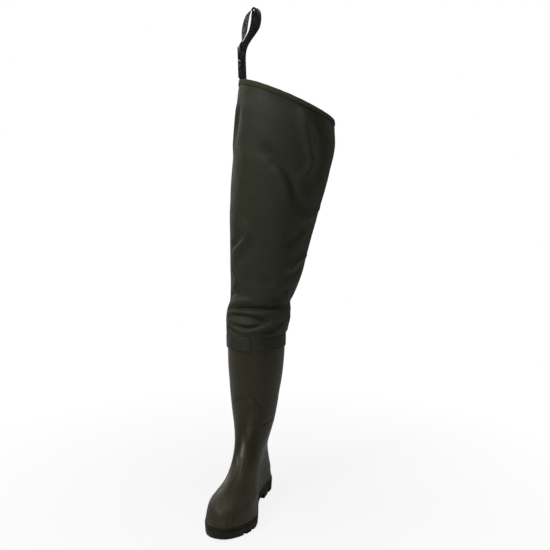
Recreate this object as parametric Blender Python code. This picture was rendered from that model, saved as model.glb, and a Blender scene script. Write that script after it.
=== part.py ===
"""Right hip wader: moulded boot, coated-fabric leg, webbing belt strap and side-release buckle.

Frame: +Z up, the toe points to -Y, the outer side of the foot is at -X. The origin is on the
floor under the middle of the heel. All sizes are in metres.
"""
import math
from typing import NamedTuple

import bmesh
import bpy
from mathutils import Matrix, Vector

# Driving dimensions
FOOT_LENGTH = 0.300        # outsole, heel to toe
BALL_WIDTH = 0.104         # outsole at the ball
HEEL_BACK = 0.040          # rear end of the outsole behind the origin
BOOT_HEIGHT = 0.366        # collar of the boot above the floor
LEG_BOTTOM = 0.338         # lower edge of the welded leg
LEG_TOP = 0.921            # top edge of the leg on the plane X = 0, Y = 0
TOP_SLOPE_SIDE = -0.41     # how the top edge falls towards the inner side
TOP_SLOPE_FRONT = -0.06    # how it rises towards the front
THIGH_WIDTH = 0.200        # across the top of the leg
BOOT_WALL = 0.0026
FABRIC = 0.0012
GAP = 0.0003               # clearance between touching pieces

# Outsole
SOLE_HEEL = 0.027          # top of the sole at the heel
SOLE_BALL = 0.021          # top of the sole at the ball
TOE_SPRING = 0.007
LUG_DEPTH = 0.0055
ARCH_RISE = 0.0145         # underside of the arch above the floor
WELT_LEDGE = 0.0012        # how far the sole stands proud of the boot
HEEL_ROUND = 0.125         # rounded rear end, share of the foot's length
TOE_ROUND = 0.28           # rounded toe, share of the foot's length
TOE_POWER = 2.3            # squareness of the toe
END_STEPS = 6              # stations round each end
TOE_LIFT_START = 0.80      # where the toe spring begins, share of the foot's length
WAIST_START = 0.30         # where the sole's top starts to fall from heel to ball
WAIST_RUN = 0.35
BREAST_RAMP = 0.006        # slope of the heel block's front face
ARCH_PEAK = 0.36           # where the arch starts to fall towards the ball
ARCH_FALL = 0.13
ARCH_STATIONS = (0.32, 0.35, 0.38, 0.42, 0.46)

# Boot and leg meshes
BOOT_SIDES = 36
BOOT_RINGS = 20            # rings of the boot above its toe rand
TOE_CROWD = 0.16           # how much closer the boot's sides stand at the toe
LEG_SIDES = 40
LEG_RINGS = 20
RAND_LEVELS = (0.0, 0.04, 0.08, 0.117)  # rings of the toe rand, up to its top edge
RAND_EDGE = 0.012          # share of the boot's height taken by the rand's top edge
RAND_STEP = 0.0012         # how far the toe rand stands proud
RAND_REAR = -0.110         # Y where the rand starts to rise out of the boot's side
RAND_FADE = 0.050
SEAT_BLEND = 0.15          # share of the boot that eases from the sole's top to level rings
LEG_CROWD = 1.12           # how much closer the leg's rings stand at the knee
SLANT_POWER = 1.6          # how late the rings of the leg take on the top edge's slant

# Weld band at the bottom of the leg
BAND_HEIGHT = 0.030
BAND_STEP = 0.0006
BAND_CHAMFER = 0.0012

# Binding of the top edge
BINDING_DEPTH = 0.011
BINDING_THICK = 0.0009

# Insole
INSOLE_THICK = 0.004
INSOLE_FIT = 0.0022        # clearance between the insole and the boot's wall
INSOLE_STATIONS = (0.20, 0.28, 0.36, 0.44, 0.52, 0.60, 0.66)

# Webbing, buckle and tab; heights over the top edge's high outer corner
WEBBING_WIDTH = 0.020
WEBBING_THICK = 0.0018
TAB_OVERLAP = 0.026        # webbing sewn below the top edge
BUCKLE_FOOT = 0.0168       # bar of the socket
BUCKLE_OUT = 0.0018        # the bar's middle outside the leg's face
BUCKLE_LEAN = math.radians(1.6)
BUCKLE_WIDTH = 0.0275
BUCKLE_THICK = 0.0098
BUCKLE_EDGE = 0.0018       # rounding of the buckle's edges
SOCKET_TOP = 0.0370        # upper end of the socket over its bar
PRONG_FOOT = 0.0376        # lower end of the prongs' collar over the socket's bar
COLLAR_TOP = 0.0475
PRONG_BAR = 0.0636         # bar of the prong half over the socket's bar
PRONG_DEPTH = 0.0250       # how far the prongs reach into the socket
BAR_RADIUS = 0.0021
SHELL = 0.0016             # wall of the socket
CHEEK = 0.0032             # cheek beside the webbing
WINDOW_HEIGHT = 0.0140     # side windows that the prongs' grips stand in
WINDOW_MIDDLE = 0.0195
WINDOW_DEPTH = 0.0050
GRIP_DEPTH = WINDOW_DEPTH - 4 * GAP
GRIP_WIDTH = 0.0046
ARM_WIDTH = 0.0030
ARM_ROOT = 0.0020          # how far the prongs start inside their collar
TONGUE_THICK = 0.0030
TONGUE_WIDTH = 0.0060
TONGUE_SHARE = 0.8         # length of the middle tongue against the prongs
BAR_COVER = 0.0008         # plastic beyond a bar at each end of the buckle
WEBBING_ROOM = 0.0008      # room for the webbing beside a bar


class OutlineRow(NamedTuple):
    """Half widths of the sole at one share of its length, in shares of the ball width."""

    along: float
    outer: float
    inner: float


class SideRow(NamedTuple):
    """Side of the sole: share of the height over the tread, and how far it stands out."""

    rise: float
    out: float


class LugRow(NamedTuple):
    """One cleat across the sole, from heel to toe in shares of the foot's length."""

    start: float
    end: float


class BootRow(NamedTuple):
    """One ring of the boot. Y in shares of the foot's length, heights in shares of the boot's
    height, half widths in shares of the ball width, oval from 0 (foot outline) to 1 (shaft)."""

    along: float
    back: float
    back_height: float
    front: float
    front_height: float
    outer: float
    inner: float
    oval: float
    shift: float


class LegRow(NamedTuple):
    """One ring of the leg, in shares of the thigh width: middle X and Y and half sizes."""

    along: float
    middle_x: float
    middle_y: float
    half_x: float
    half_y: float


class StrapRow(NamedTuple):
    """A point of the belt strap beside the outer corner: X, height and twist in degrees."""

    side: float
    height: float
    twist: float


SOLE_OUTLINE = (
    OutlineRow(0.00, 0.325, 0.262),
    OutlineRow(0.12, 0.346, 0.276),
    OutlineRow(0.26, 0.348, 0.266),
    OutlineRow(0.40, 0.350, 0.268),
    OutlineRow(0.52, 0.398, 0.345),
    OutlineRow(0.64, 0.464, 0.455),
    OutlineRow(0.72, 0.486, 0.500),
    OutlineRow(0.80, 0.488, 0.468),
    OutlineRow(0.88, 0.472, 0.402),
    OutlineRow(1.00, 0.425, 0.330),
)
SOLE_SIDE = (
    SideRow(0.00, -0.0008),
    SideRow(0.60, 0.0002),
    SideRow(0.65, -0.0012),
    SideRow(0.74, -0.0012),
    SideRow(0.79, 0.0004),
    SideRow(1.00, 0.0000),
)
HEEL_LUGS = (
    LugRow(0.000, 0.066),
    LugRow(0.098, 0.170),
    LugRow(0.202, 0.286),
)
FOREPART_LUGS = (
    LugRow(0.500, 0.548),
    LugRow(0.572, 0.620),
    LugRow(0.644, 0.692),
    LugRow(0.716, 0.764),
    LugRow(0.788, 0.836),
    LugRow(0.862, 1.000),
)
LUG_DRAFT = 0.004          # slope of a cleat's flank, share of the foot's length
TREAD_CROSS = (-1.0, -0.56, -0.51, -0.42, -0.38, 0.0, 0.38, 0.42, 0.51, 0.56, 1.0)
TREAD_GROOVE = (2, 3, 7, 8)  # columns of the tread that lie in a lengthwise groove
CHEVRON = 0.010            # how far a forepart cleat points forward in its middle
CHEVRON_START = 0.47
CHEVRON_RAMP = 0.05
CHEVRON_END = 0.80         # from here to the toe the cleats straighten out
CHEVRON_FADE = 0.15
HEEL_BREAST = HEEL_LUGS[-1].end + LUG_DRAFT  # front edge of the heel block

BOOT = (
    BootRow(0.00, 0.129, 0.0750, -0.860, 0.0830, 0.486, 0.486, 0.00, 0.000),
    BootRow(0.05, 0.132, 0.1060, -0.862, 0.1150, 0.490, 0.494, 0.00, 0.000),
    BootRow(0.10, 0.137, 0.1380, -0.848, 0.1460, 0.466, 0.486, 0.03, 0.000),
    BootRow(0.15, 0.138, 0.1680, -0.806, 0.1750, 0.402, 0.434, 0.08, 0.000),
    BootRow(0.20, 0.136, 0.1970, -0.733, 0.1970, 0.334, 0.376, 0.16, 0.000),
    BootRow(0.26, 0.131, 0.2300, -0.627, 0.2200, 0.300, 0.332, 0.28, 0.000),
    BootRow(0.32, 0.124, 0.2640, -0.517, 0.2550, 0.304, 0.304, 0.46, -0.001),
    BootRow(0.38, 0.118, 0.3010, -0.423, 0.3000, 0.322, 0.296, 0.66, -0.002),
    BootRow(0.44, 0.114, 0.3440, -0.350, 0.3580, 0.350, 0.322, 0.86, -0.003),
    BootRow(0.50, 0.116, 0.3940, -0.302, 0.4250, 0.392, 0.376, 0.96, -0.004),
    BootRow(0.57, 0.124, 0.4560, -0.275, 0.4980, 0.440, 0.436, 1.00, -0.0045),
    BootRow(0.64, 0.140, 0.5300, -0.264, 0.5750, 0.490, 0.484, 1.00, -0.005),
    BootRow(0.72, 0.166, 0.6180, -0.265, 0.6600, 0.532, 0.526, 1.00, -0.005),
    BootRow(0.80, 0.196, 0.7150, -0.273, 0.7480, 0.572, 0.566, 1.00, -0.004),
    BootRow(0.88, 0.216, 0.8150, -0.281, 0.8370, 0.603, 0.597, 1.00, -0.0035),
    BootRow(0.95, 0.226, 0.9200, -0.287, 0.9300, 0.617, 0.613, 1.00, -0.003),
    BootRow(1.00, 0.229, 1.0000, -0.290, 1.0000, 0.623, 0.619, 1.00, -0.003),
)
LEG = (
    LegRow(0.000, -0.015, -0.045, 0.340, 0.395),
    LegRow(0.048, -0.010, -0.046, 0.342, 0.394),
    LegRow(0.085, -0.002, -0.050, 0.350, 0.396),
    LegRow(0.125, 0.010, -0.055, 0.362, 0.400),
    LegRow(0.160, 0.020, -0.058, 0.356, 0.392),
    LegRow(0.190, 0.032, -0.056, 0.340, 0.380),
    LegRow(0.220, 0.055, -0.050, 0.358, 0.390),
    LegRow(0.290, 0.095, -0.044, 0.394, 0.428),
    LegRow(0.380, 0.130, -0.038, 0.425, 0.463),
    LegRow(0.480, 0.165, -0.032, 0.464, 0.503),
    LegRow(0.580, 0.200, -0.026, 0.492, 0.538),
    LegRow(0.680, 0.246, -0.018, 0.520, 0.566),
    LegRow(0.780, 0.286, -0.008, 0.534, 0.585),
    LegRow(0.880, 0.318, 0.006, 0.546, 0.597),
    LegRow(1.000, 0.330, 0.020, 0.522, 0.585),
)
BELT_STRAP = (
    StrapRow(-0.0328, 0.008, 0.0),
    StrapRow(-0.0338, 0.024, 0.0),
    StrapRow(-0.0344, 0.044, 0.0),
    StrapRow(-0.0346, 0.062, 0.0),
    StrapRow(-0.0330, 0.079, -3.0),
    StrapRow(-0.0275, 0.093, -8.0),
    StrapRow(-0.0195, 0.105, -16.0),
    StrapRow(-0.0120, 0.117, -28.0),
    StrapRow(-0.0062, 0.132, -38.0),
    StrapRow(-0.0046, 0.148, -36.0),
    StrapRow(-0.0062, 0.161, -24.0),
    StrapRow(-0.0118, 0.1690, -10.0),
    StrapRow(-0.0212, 0.1640, -4.0),
    StrapRow(-0.0282, 0.151, -2.0),
    StrapRow(-0.0318, 0.135, 0.0),
    StrapRow(-0.0336, 0.118, 0.0),
    StrapRow(-0.0362, 0.103, 0.0),
    StrapRow(-0.0415, 0.090, 0.0),
)
STRAP_TAIL = (
    StrapRow(-0.0364, 0.0890, 0.0),
    StrapRow(-0.0322, 0.0962, 0.0),
    StrapRow(-0.0262, 0.1055, 0.0),
    StrapRow(-0.0202, 0.1155, 0.0),
    StrapRow(-0.0168, 0.1270, 0.0),
    StrapRow(-0.0160, 0.1390, 0.0),
    StrapRow(-0.0180, 0.1500, 0.0),
)
STRAP_STEPS = 3            # ribbon segments from one route point to the next
BAR_STEPS = 6              # ribbon segments round a buckle's bar
WIDEST = max(row.inner for row in SOLE_OUTLINE)


def blend(rows, along, column):
    """Value of a named column at a share along the rows, on a smooth curve through them."""
    keys = [row.along for row in rows]
    values = [getattr(row, column) for row in rows]
    along = min(max(along, keys[0]), keys[-1])
    last = len(rows) - 1
    cell = 0
    while cell < last - 1 and along > keys[cell + 1]:
        cell += 1
    width = keys[cell + 1] - keys[cell]
    share = (along - keys[cell]) / width

    def slope(index):
        """Mean slope at a row, flat where the values turn."""
        if index in (0, last):
            near = 1 if index == 0 else last - 1
            return (values[near] - values[index]) / (keys[near] - keys[index])
        before = (values[index] - values[index - 1]) / (keys[index] - keys[index - 1])
        after = (values[index + 1] - values[index]) / (keys[index + 1] - keys[index])
        return 0.0 if before * after <= 0.0 else 2.0 * before * after / (before + after)

    start_slope = slope(cell) * width
    end_slope = slope(cell + 1) * width
    square = share * share
    cube = square * share
    return (values[cell] * (2 * cube - 3 * square + 1)
            + start_slope * (cube - 2 * square + share)
            + values[cell + 1] * (3 * square - 2 * cube)
            + end_slope * (cube - square))


def ease(value):
    """Smooth step from 0 to 1."""
    value = min(max(value, 0.0), 1.0)
    return value * value * (3.0 - 2.0 * value)


def material(name, colour, roughness, metallic=0.0):
    """Plain Principled material for one kind of surface."""
    finish = bpy.data.materials.new(name)
    finish.use_nodes = True
    shader = finish.node_tree.nodes["Principled BSDF"]
    shader.inputs["Base Color"].default_value = (*colour, 1.0)
    shader.inputs["Roughness"].default_value = roughness
    shader.inputs["Metallic"].default_value = metallic
    finish.diffuse_color = (*colour, 1.0)
    return finish


def add_object(name, bm, finish, crease_degrees=40.0):
    """Close off a bmesh as one named object with its material."""
    bmesh.ops.remove_doubles(bm, verts=bm.verts, dist=0.000001)
    bmesh.ops.recalc_face_normals(bm, faces=bm.faces)
    mesh = bpy.data.meshes.new(name)
    bm.to_mesh(mesh)
    bm.free()
    mesh.materials.append(finish)
    mesh.shade_smooth()
    mesh.set_sharp_from_angle(angle=math.radians(crease_degrees))
    piece = bpy.data.objects.new(name, mesh)
    bpy.context.collection.objects.link(piece)
    return piece


def end_round(along):
    """Share of the full half width left by the rounded heel and toe."""
    if along < HEEL_ROUND:
        return math.sqrt(max(0.0, 1.0 - (1.0 - along / HEEL_ROUND) ** 2))
    toe = 1.0 - TOE_ROUND
    if along > toe:
        reach = (along - toe) / TOE_ROUND
        return max(0.0, 1.0 - reach ** TOE_POWER) ** (1.0 / TOE_POWER)
    return 1.0


def sole_y(along, grow=0.0):
    """Y of a share of the sole's length, for an outline grown by a margin."""
    return HEEL_BACK + grow - (FOOT_LENGTH + 2.0 * grow) * along


def sole_x(along, side, grow=0.0):
    """X of the sole's edge; side is -1 for the outer and 1 for the inner edge."""
    column = "inner" if side > 0 else "outer"
    half = blend(SOLE_OUTLINE, along, column) * BALL_WIDTH + grow
    return side * half * end_round(along)


def toe_lift(along):
    """Toe spring: how far the front of the sole rises off the floor."""
    return TOE_SPRING * max(0.0, (along - TOE_LIFT_START) / (1.0 - TOE_LIFT_START)) ** 2


def sole_top(along):
    """Height of the sole's upper face."""
    drop = ease((along - WAIST_START) / WAIST_RUN)
    return SOLE_HEEL + (SOLE_BALL - SOLE_HEEL) * drop + toe_lift(along)


def tread_base(along):
    """Height of the sole's underside between the cleats."""
    arch = ease((along - HEEL_BREAST) / BREAST_RAMP) * (1.0 - ease((along - ARCH_PEAK) / ARCH_FALL))
    return LUG_DEPTH + (ARCH_RISE - LUG_DEPTH) * arch + toe_lift(along)


def end_stations():
    """Stations that follow the rounded heel and toe, as shares of the foot's length."""
    stations = []
    for step in range(END_STEPS):
        angle = math.radians(90.0) * (step + 0.5) / END_STEPS
        toe = math.sin(angle) ** (2.0 / TOE_POWER)
        stations.append(HEEL_ROUND * (1.0 - math.cos(angle)))
        stations.append(1.0 - TOE_ROUND * (1.0 - toe))
    return stations


def sole_stations():
    """Stations along the sole as (share, cleat?) pairs, finer round both ends."""
    stations = end_stations() + list(ARCH_STATIONS) + [HEEL_BREAST + BREAST_RAMP]
    for lug in HEEL_LUGS + FOREPART_LUGS:
        for edge, outward in ((lug.start, -1), (lug.end, 1)):
            if 0.0 < edge < 1.0:
                stations += [edge, edge + outward * LUG_DRAFT]
    stations.sort()
    spaced = [stations[0]]
    for along in stations[1:]:
        if along - spaced[-1] > LUG_DRAFT / 2:
            spaced.append(along)
    return [(along, on_lug(along)) for along in spaced]


def on_lug(along):
    """True where a station lies on a cleat."""
    margin = 0.0001
    return any(lug.start - margin <= along <= lug.end + margin for lug in HEEL_LUGS + FOREPART_LUGS)


def build_outsole(finish):
    """Sole with heel block, arch, welt groove, side and cleated tread in one closed grid."""
    bm = bmesh.new()
    stations = sole_stations()
    tread, sides, tops = [], [], []
    for index, (along, lug) in enumerate(stations):
        at_end = index in (0, len(stations) - 1)
        ground = toe_lift(along)
        base = tread_base(along)
        row = []
        for column, cross in enumerate(TREAD_CROSS):
            side = 1 if cross > 0 else -1
            groove = column in TREAD_GROOVE and not at_end
            height = base if groove or not lug else ground
            x = abs(cross) * sole_x(along, side, SOLE_SIDE[0].out)
            y = sole_y(along, SOLE_SIDE[0].out)
            if not at_end:
                bend = CHEVRON * (1.0 - abs(cross)) * (1.0 - ease((along - CHEVRON_END) / CHEVRON_FADE))
                y -= bend * ease((along - CHEVRON_START) / CHEVRON_RAMP)
            row.append(bm.verts.new((x, y, height)))
        tread.append(row)
        top = sole_top(along)
        pair = []
        for side in (-1, 1):
            wall = [row[0] if side < 0 else row[-1]]
            for step in SOLE_SIDE[1:]:
                height = base + (top - base) * step.rise
                wall.append(bm.verts.new((sole_x(along, side, step.out), sole_y(along, step.out), height)))
            pair.append(wall)
        sides.append(pair)
        tops.append((pair[0][-1], bm.verts.new((0.0, sole_y(along), top)), pair[1][-1]))
    for a, b in zip(range(len(stations) - 1), range(1, len(stations))):
        for column in range(len(TREAD_CROSS) - 1):
            bm.faces.new((tread[a][column], tread[a][column + 1], tread[b][column + 1], tread[b][column]))
        for side in (0, 1):
            for step in range(len(SOLE_SIDE) - 1):
                bm.faces.new((sides[a][side][step], sides[b][side][step],
                              sides[b][side][step + 1], sides[a][side][step + 1]))
        for half in (0, 1):
            bm.faces.new((tops[a][half], tops[a][half + 1], tops[b][half + 1], tops[b][half]))
    for end in (0, len(stations) - 1):
        outer, inner = sides[end]
        bm.faces.new(tread[end] + [inner[1], outer[1]])
        for step in range(1, len(SOLE_SIDE) - 2):
            bm.faces.new((outer[step], inner[step], inner[step + 1], outer[step + 1]))
        last = len(SOLE_SIDE) - 1
        bm.faces.new((outer[last - 1], inner[last - 1], inner[last], tops[end][1], outer[last]))
    return add_object("outsole", bm, finish, 30.0)


def boot_point(along, turn, grow=0.0):
    """Point of the boot's wall, and how far a rand stands proud there: along from sole to collar,
    turn in radians from the heel."""
    row = {name: blend(BOOT, along, name) for name in BootRow._fields}
    back = row["back"] * FOOT_LENGTH + grow
    front = row["front"] * FOOT_LENGTH - grow
    share = 0.5 - 0.5 * math.cos(turn)
    y = back + (front - back) * share
    sine = math.sin(turn)
    inner = sine > 0
    half = (row["inner"] if inner else row["outer"]) * BALL_WIDTH + grow
    outline = blend(SOLE_OUTLINE, share, "inner" if inner else "outer") / WIDEST * end_round(share)
    oval = abs(sine)
    width = half * (outline + (oval - outline) * row["oval"])
    x = row["shift"] + (width if inner else -width)
    if abs(sine) < 1e-6:
        x = row["shift"]
    line = BOOT_HEIGHT * (row["back_height"] + (row["front_height"] - row["back_height"]) * share)
    seat = sole_top(min(max((HEEL_BACK - y) / FOOT_LENGTH, 0.0), 1.0)) + GAP
    rim = BOOT_HEIGHT * (BOOT[0].back_height + (BOOT[0].front_height - BOOT[0].back_height) * share)
    z = line + (seat - rim) * (1.0 - ease(along / SEAT_BLEND))
    proud = RAND_STEP * ease((RAND_REAR - y) / RAND_FADE)
    rand = proud if along <= RAND_LEVELS[-1] else 0.0
    return Vector((x, y, z)), rand


def surface_normals(rings):
    """Outward normals of a tube given as rings of points, level at its two open ends."""
    count = len(rings[0])
    normals = []
    for level, ring in enumerate(rings):
        below = rings[max(level - 1, 0)]
        above = rings[min(level + 1, len(rings) - 1)]
        row = []
        for index in range(count):
            around = ring[(index + 1) % count] - ring[index - 1]
            up = above[index] - below[index]
            normal = up.cross(around)
            if level in (0, len(rings) - 1):
                normal.z = 0.0
            row.append(normal.normalized())
        normals.append(row)
    return normals


def tube(name, outer_rings, inner_rings, finish, crease_degrees=40.0):
    """Closed wall between outer and inner rings, open at both ends."""
    bm = bmesh.new()
    skins = [[[bm.verts.new(point) for point in ring] for ring in rings]
             for rings in (outer_rings, inner_rings)]
    count = len(outer_rings[0])
    for skin in skins:
        for low, high in zip(skin, skin[1:]):
            for index in range(count):
                following = (index + 1) % count
                bm.faces.new((low[index], low[following], high[following], high[index]))
    for level in (0, -1):
        outer, inner = skins[0][level], skins[1][level]
        for index in range(count):
            following = (index + 1) % count
            bm.faces.new((outer[index], outer[following], inner[following], inner[index]))
    return add_object(name, bm, finish, crease_degrees)


def boot_turns():
    """Angles round the boot, closer together at the toe."""
    turns = []
    for index in range(BOOT_SIDES):
        angle = 2.0 * math.pi * index / BOOT_SIDES
        turns.append(angle + TOE_CROWD * math.sin(angle))
    return turns


def build_boot(finish):
    """Foot and shaft moulded in one, with a raised toe rand as a step in the wall."""
    turns = boot_turns()
    plain, rands = [], []
    start = RAND_LEVELS[-1] + RAND_EDGE
    upper = [start + (1.0 - start) * level / BOOT_RINGS for level in range(BOOT_RINGS + 1)]
    for along in list(RAND_LEVELS) + upper:
        pairs = [boot_point(along, turn) for turn in turns]
        plain.append([point for point, rand in pairs])
        rands.append([rand for point, rand in pairs])
    normals = surface_normals(plain)
    outer = [[point + normal * rand for point, normal, rand in zip(*rows)]
             for rows in zip(plain, normals, rands)]
    inner = [[point - normal * BOOT_WALL for point, normal in zip(*rows)]
             for rows in zip(plain, normals)]
    return tube("boot", outer, inner, finish)


def build_insole(finish):
    """Footbed lying on the sole inside the boot."""
    bm = bmesh.new()
    inset = -(WELT_LEDGE + BOOT_WALL + INSOLE_FIT)
    stations = sorted(end_stations() + list(INSOLE_STATIONS))
    layers = []
    for lift in (GAP, GAP + INSOLE_THICK):
        layers.append([[bm.verts.new((sole_x(along, side, inset), sole_y(along, inset), sole_top(along) + lift))
                        for side in (-1, 1)] for along in stations])
    bottom, top = layers
    for a, b in zip(range(len(stations) - 1), range(1, len(stations))):
        bm.faces.new((bottom[a][0], bottom[a][1], bottom[b][1], bottom[b][0]))
        bm.faces.new((top[a][0], top[b][0], top[b][1], top[a][1]))
        for side in (0, 1):
            bm.faces.new((bottom[a][side], bottom[b][side], top[b][side], top[a][side]))
    for end in (0, -1):
        bm.faces.new((bottom[end][0], bottom[end][1], top[end][1], top[end][0]))
    return add_object("insole", bm, finish)


def top_edge(x, y):
    """Height of the slanted top edge over a point of the floor."""
    return LEG_TOP + TOP_SLOPE_SIDE * x + TOP_SLOPE_FRONT * y


def leg_point(along, turn, grow=0.0):
    """Point of the leg's outer face: along from its lower edge to the top, turn from the back."""
    row = {name: blend(LEG, along, name) * THIGH_WIDTH for name in LegRow._fields[1:]}
    x = row["middle_x"] + (row["half_x"] + grow) * math.sin(turn)
    y = row["middle_y"] + (row["half_y"] + grow) * math.cos(turn)
    level = LEG_BOTTOM + (LEG_TOP - LEG_BOTTOM) * along
    tilt = (top_edge(x, y) - LEG_TOP) * along ** SLANT_POWER
    return Vector((x, y, level + tilt))


def boot_face(height, turn, grow):
    """Point of the boot's shaft at a height, moved out by a distance."""
    low, high = 0.5, 1.0
    for _ in range(30):
        middle = 0.5 * (low + high)
        if boot_point(middle, turn)[0].z < height:
            low = middle
        else:
            high = middle
    return boot_point(high, turn, grow)[0]


def build_leg(finish):
    """Coated-fabric tube, with its weld band as a step in the wall over the boot's collar."""
    turns = [2.0 * math.pi * index / LEG_SIDES for index in range(LEG_SIDES)]
    band_top = LEG_BOTTOM + BAND_HEIGHT
    outer, inner = [], []
    fit = GAP + FABRIC
    for height, extra in ((LEG_BOTTOM, BAND_STEP), (band_top - BAND_CHAMFER, BAND_STEP), (band_top, 0.0)):
        outer.append([boot_face(height, turn, fit + extra) for turn in turns])
        inner.append([boot_face(height, turn, GAP) for turn in turns])
        for ring in (outer[-1], inner[-1]):
            for point in ring:
                point.z = height
    start = (band_top - LEG_BOTTOM) / (LEG_TOP - LEG_BOTTOM)
    for level in range(1, LEG_RINGS + 1):
        along = start + (1.0 - start) * (level / LEG_RINGS) ** LEG_CROWD
        outer.append([leg_point(along, turn) for turn in turns])
        inner.append([leg_point(along, turn, -FABRIC) for turn in turns])
    return tube("leg", outer, inner, finish)


def build_binding(finish):
    """Folded tape over the top edge, with a U section that holds the leg's edge."""
    turns = [2.0 * math.pi * index / LEG_SIDES for index in range(LEG_SIDES)]
    span = BINDING_DEPTH / (LEG_TOP - LEG_BOTTOM)
    inside = -(FABRIC + GAP)
    profile = (
        (1.0 - span, GAP + BINDING_THICK, 0.0),
        (1.0, GAP + BINDING_THICK, GAP + BINDING_THICK),
        (1.0, inside - BINDING_THICK, GAP + BINDING_THICK),
        (1.0 - span, inside - BINDING_THICK, 0.0),
        (1.0 - span, inside, 0.0),
        (1.0, inside, GAP),
        (1.0, GAP, GAP),
        (1.0 - span, GAP, 0.0),
    )
    bm = bmesh.new()
    rings = []
    for along, grow, lift in profile:
        points = [leg_point(along, turn, grow) + Vector((0.0, 0.0, lift)) for turn in turns]
        rings.append([bm.verts.new(point) for point in points])
    for near, far in zip(rings, rings[1:] + rings[:1]):
        for index in range(LEG_SIDES):
            following = (index + 1) % LEG_SIDES
            bm.faces.new((near[index], near[following], far[following], far[index]))
    return add_object("top_binding", bm, finish)


def corner():
    """High outer corner of the top edge, on the leg's outer face, where the webbing is sewn."""
    return leg_point(1.0, 1.5 * math.pi)


def beside_wall(drop, offset):
    """Route row beside the leg's wall, a drop below the corner, offset inwards from its face."""
    along = 1.0 - drop / (LEG_TOP - LEG_BOTTOM)
    point = leg_point(along, 1.5 * math.pi)
    return StrapRow(point.x + offset, point.z - corner().z, 0.0)


def smooth_route(rows, steps):
    """Even curve through route rows, as vectors of side, height and twist."""
    points = [Vector(row) for row in rows]
    ends = [points[0] * 2 - points[1]] + points + [points[-1] * 2 - points[-2]]
    route = []
    for index in range(1, len(ends) - 2):
        a, b, c, d = ends[index - 1:index + 3]
        for step in range(steps):
            t = step / steps
            route.append(0.5 * (2 * b + (c - a) * t + (2 * a - 5 * b + 4 * c - d) * t * t
                                + (3 * b - a - 3 * c + d) * t ** 3))
    route.append(points[-1])
    return route


def round_bar(side, height, start_degrees, end_degrees):
    """Route rows round a buckle's bar, angles counted from +X towards +Z."""
    radius = BAR_RADIUS + GAP + WEBBING_THICK / 2
    rows = []
    for step in range(BAR_STEPS + 1):
        angle = math.radians(start_degrees + (end_degrees - start_degrees) * step / BAR_STEPS)
        rows.append(Vector((side + radius * math.cos(angle), height + radius * math.sin(angle), 0.0)))
    return rows


def bar_place(distance):
    """X and height of a point on the buckle's middle line, a distance over the socket's bar."""
    foot = corner().x - BUCKLE_OUT
    return foot - distance * math.sin(BUCKLE_LEAN), BUCKLE_FOOT + distance * math.cos(BUCKLE_LEAN)


def ribbon(name, route, finish):
    """Flat webbing along a route, its width lying front to back except where it twists."""
    bm = bmesh.new()
    corner_point = corner()
    rings = []
    for index, point in enumerate(route):
        before = route[max(index - 1, 0)]
        after = route[min(index + 1, len(route) - 1)]
        forward = Vector((after.x - before.x, 0.0, after.y - before.y)).normalized()
        across = Vector((0.0, 1.0, 0.0))
        face = forward.cross(across)
        turn = math.radians(point.z)
        wide = across * math.cos(turn) + face * math.sin(turn)
        flat = face * math.cos(turn) - across * math.sin(turn)
        middle = Vector((point.x, corner_point.y, corner_point.z + point.y))
        rings.append([bm.verts.new(middle + wide * (a * WEBBING_WIDTH / 2) + flat * (b * WEBBING_THICK / 2))
                      for a, b in ((-1, -1), (1, -1), (1, 1), (-1, 1))])
    for near, far in zip(rings, rings[1:]):
        for index in range(4):
            following = (index + 1) % 4
            bm.faces.new((near[index], near[following], far[following], far[index]))
    bm.faces.new(rings[0])
    bm.faces.new(rings[-1])
    return add_object(name, bm, finish, 50.0)


def sewn_offsets():
    """How far the tab's outer layer, its inner layer and the belt strap lie from the wall."""
    outer = -(GAP + BINDING_THICK + GAP + WEBBING_THICK / 2)
    wall_radius = THIGH_WIDTH * LEG[-1].half_y ** 2 / LEG[-1].half_x
    curve = (WEBBING_WIDTH / 2) ** 2 / (2 * wall_radius) + 2 * GAP
    inner = FABRIC + GAP + BINDING_THICK + GAP + curve + WEBBING_THICK / 2
    return outer, inner, inner + WEBBING_THICK + GAP


def build_tab(finish):
    """Short webbing tab over the top edge and round the socket's bar."""
    outer, inner, _ = sewn_offsets()
    side, height = bar_place(0.0)
    route = smooth_route([beside_wall(TAB_OVERLAP, outer), beside_wall(TAB_OVERLAP / 2, outer),
                          beside_wall(0.0, outer)], 2)
    route += round_bar(side, height, 180.0, 0.0)
    route += smooth_route([beside_wall(0.0, inner), beside_wall(TAB_OVERLAP / 2, inner),
                           beside_wall(TAB_OVERLAP, inner)], 2)
    return ribbon("strap_tab", route, finish)


def build_belt_strap(finish):
    """Belt loop from its sewn end over the top, round the prong half's bar and out as a tail."""
    _, _, sewn = sewn_offsets()
    side, height = bar_place(PRONG_BAR)
    start = [beside_wall(TAB_OVERLAP, sewn), beside_wall(TAB_OVERLAP / 2, sewn), beside_wall(0.0, sewn)]
    route = smooth_route(start + list(BELT_STRAP), STRAP_STEPS)
    route += round_bar(side, height, 180.0, 360.0)
    route += smooth_route(STRAP_TAIL, STRAP_STEPS)
    return ribbon("belt_strap", route, finish)


def block(name, size, centre, rounding, frame, finish):
    """Box with rounded edges in the buckle's frame; rounding 0 keeps it sharp."""
    bm = bmesh.new()
    bmesh.ops.create_cube(bm, size=1.0)
    bmesh.ops.scale(bm, vec=size, verts=bm.verts)
    bmesh.ops.translate(bm, vec=centre, verts=bm.verts)
    if rounding:
        bmesh.ops.bevel(bm, geom=bm.edges[:], offset=rounding, segments=2, profile=0.6, affect="EDGES")
    piece = add_object(name, bm, finish)
    piece.parent = frame
    return piece


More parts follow.
